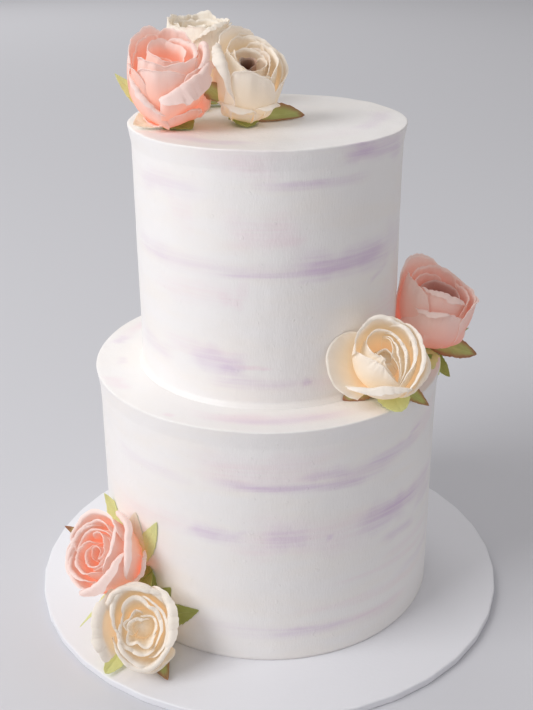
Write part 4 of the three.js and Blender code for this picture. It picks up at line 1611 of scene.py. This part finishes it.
UPPER_TOP = (
    Stroke(LILAC, -32, 66, 60, 12, 0.4, -1),
    Stroke(PINK, -55, 60, 40, 16, 0.25),
    Stroke(LILAC, 84, 63, 60, 14, 0.4, 6),
    Stroke(PINK, 40, 56, 50, 18, 0.15),
    Stroke(LILAC, 200, 58, 70, 14, 0.35, 4),
)
LOWER_WALL = (
    Stroke(LILAC, 7, 123.4, 58, 6, 0.75, -2),
    Stroke(LILAC, 3, 124, 34, 4, 0.4, -0.5),
    Stroke(PINK, 0, 134, 54, 26, 0.36, -2),
    Stroke(LILAC, 18, 130, 19, 9, 0.55, 1),
    Stroke(LILAC, 33, 127, 30, 14, 0.45, 1),
    Stroke(LILAC, 45, 131, 28, 9, 0.5, 2),
    Stroke(LILAC, 54, 137, 10, 4, 0.5, 3),
    Stroke(PINK, 62, 138, 24, 18, 0.3, 3),
    Stroke(LILAC, -42, 125, 41, 9, 0.22, -2),
    Stroke(LILAC, -17, 91.5, 24, 12, 0.5, 1),
    Stroke(LILAC, -20, 91, 12, 8, 0.35, -1),
    Stroke(LILAC, 5, 91, 17, 17, 0.6, -1),
    Stroke(LILAC, 19, 88.5, 3, 4, 1.0, 0.7),
    Stroke(PINK, 13, 90, 56, 28, 0.4),
    Stroke(PINK, -40, 92, 44, 14, 0.22, 2),
    Stroke(LILAC, 40, 91, 27, 20, 0.85),
    Stroke(LILAC, 47, 94, 24, 12, 0.4, 2),
    Stroke(LILAC, 60, 95, 30, 15, 0.5, 1),
    Stroke(LILAC, 48, 74, 21, 8, 0.55, 1),
    Stroke(LILAC, 66, 84, 22, 10, 0.4, 3),
    Stroke(PINK, 46, 54, 57, 5, 0.28, -2),
    Stroke(PINK, 56, 62, 40, 8, 0.25, 3),
    Stroke(PINK, 38, 38, 69, 7, 0.28, -2),
    Stroke(LILAC, 62, 44, 36, 8, 0.25, 2),
    Stroke(LILAC, 10, 25.5, 96, 11, 0.25, -1),
    Stroke(LILAC, 13, 25.4, 30, 6, 0.45),
    Stroke(PINK, 38, 25, 38, 7, 0.35, -1),
    *loops(61, 20, 145, 16),
)
LEDGE = (
    Stroke(LILAC, -102, 97, 10, 10, 0.5, 3),
    Stroke(PINK, -64, 100, 16, 12, 0.45, -3),
    Stroke(LILAC, -82, 91, 9, 7, 0.45),
    Stroke(PINK, -33, 101.4, 5, 4, 0.5),
    Stroke(PINK, 3, 93, 70, 14, 0.5, -1),
    Stroke(LILAC, 4, 94, 48, 7, 0.4),
    Stroke(LILAC, 170, 93, 80, 12, 0.4),
    Stroke(PINK, 240, 96, 50, 10, 0.35),
)


def tiers() -> list[Tier]:
    """Gives the two tiers with their strokes.

    Returns:
        The lower tier and the upper one.
    """
    lower = Tier("lower_tier", 4 * INCH + 3.9, 5, 155, -0.8, 1.2, 0.6, 1.1, LOWER_WALL, LEDGE, seed=21)
    upper = Tier("upper_tier", 3 * INCH + 1.8, 160, 145.5, 2.2, 3, 0.4, 1.5, UPPER_WALL, UPPER_TOP, seed=31)
    return [lower, upper]


def main() -> None:
    """Builds the studio, the board, the tiers and the roses in order."""
    logging.basicConfig(level=logging.INFO, format="%(name)s: %(message)s")
    Studio().build()
    board = Board()
    board.build(FoilFinish().material())
    stack = tiers()
    icing = IcingFinish().material()
    for tier in stack:
        tier.build(icing)
    finishes = {finish.name: finish.material() for finish in (BLUSH, DUSK, CREAM, IVORY)}
    leaf = LEAF.material()
    keepout = Keepout(stack, board)
    for rose in ROSES:
        rose.build(finishes[rose.slot], leaf, keepout)


if __name__ == "__main__":
    main()
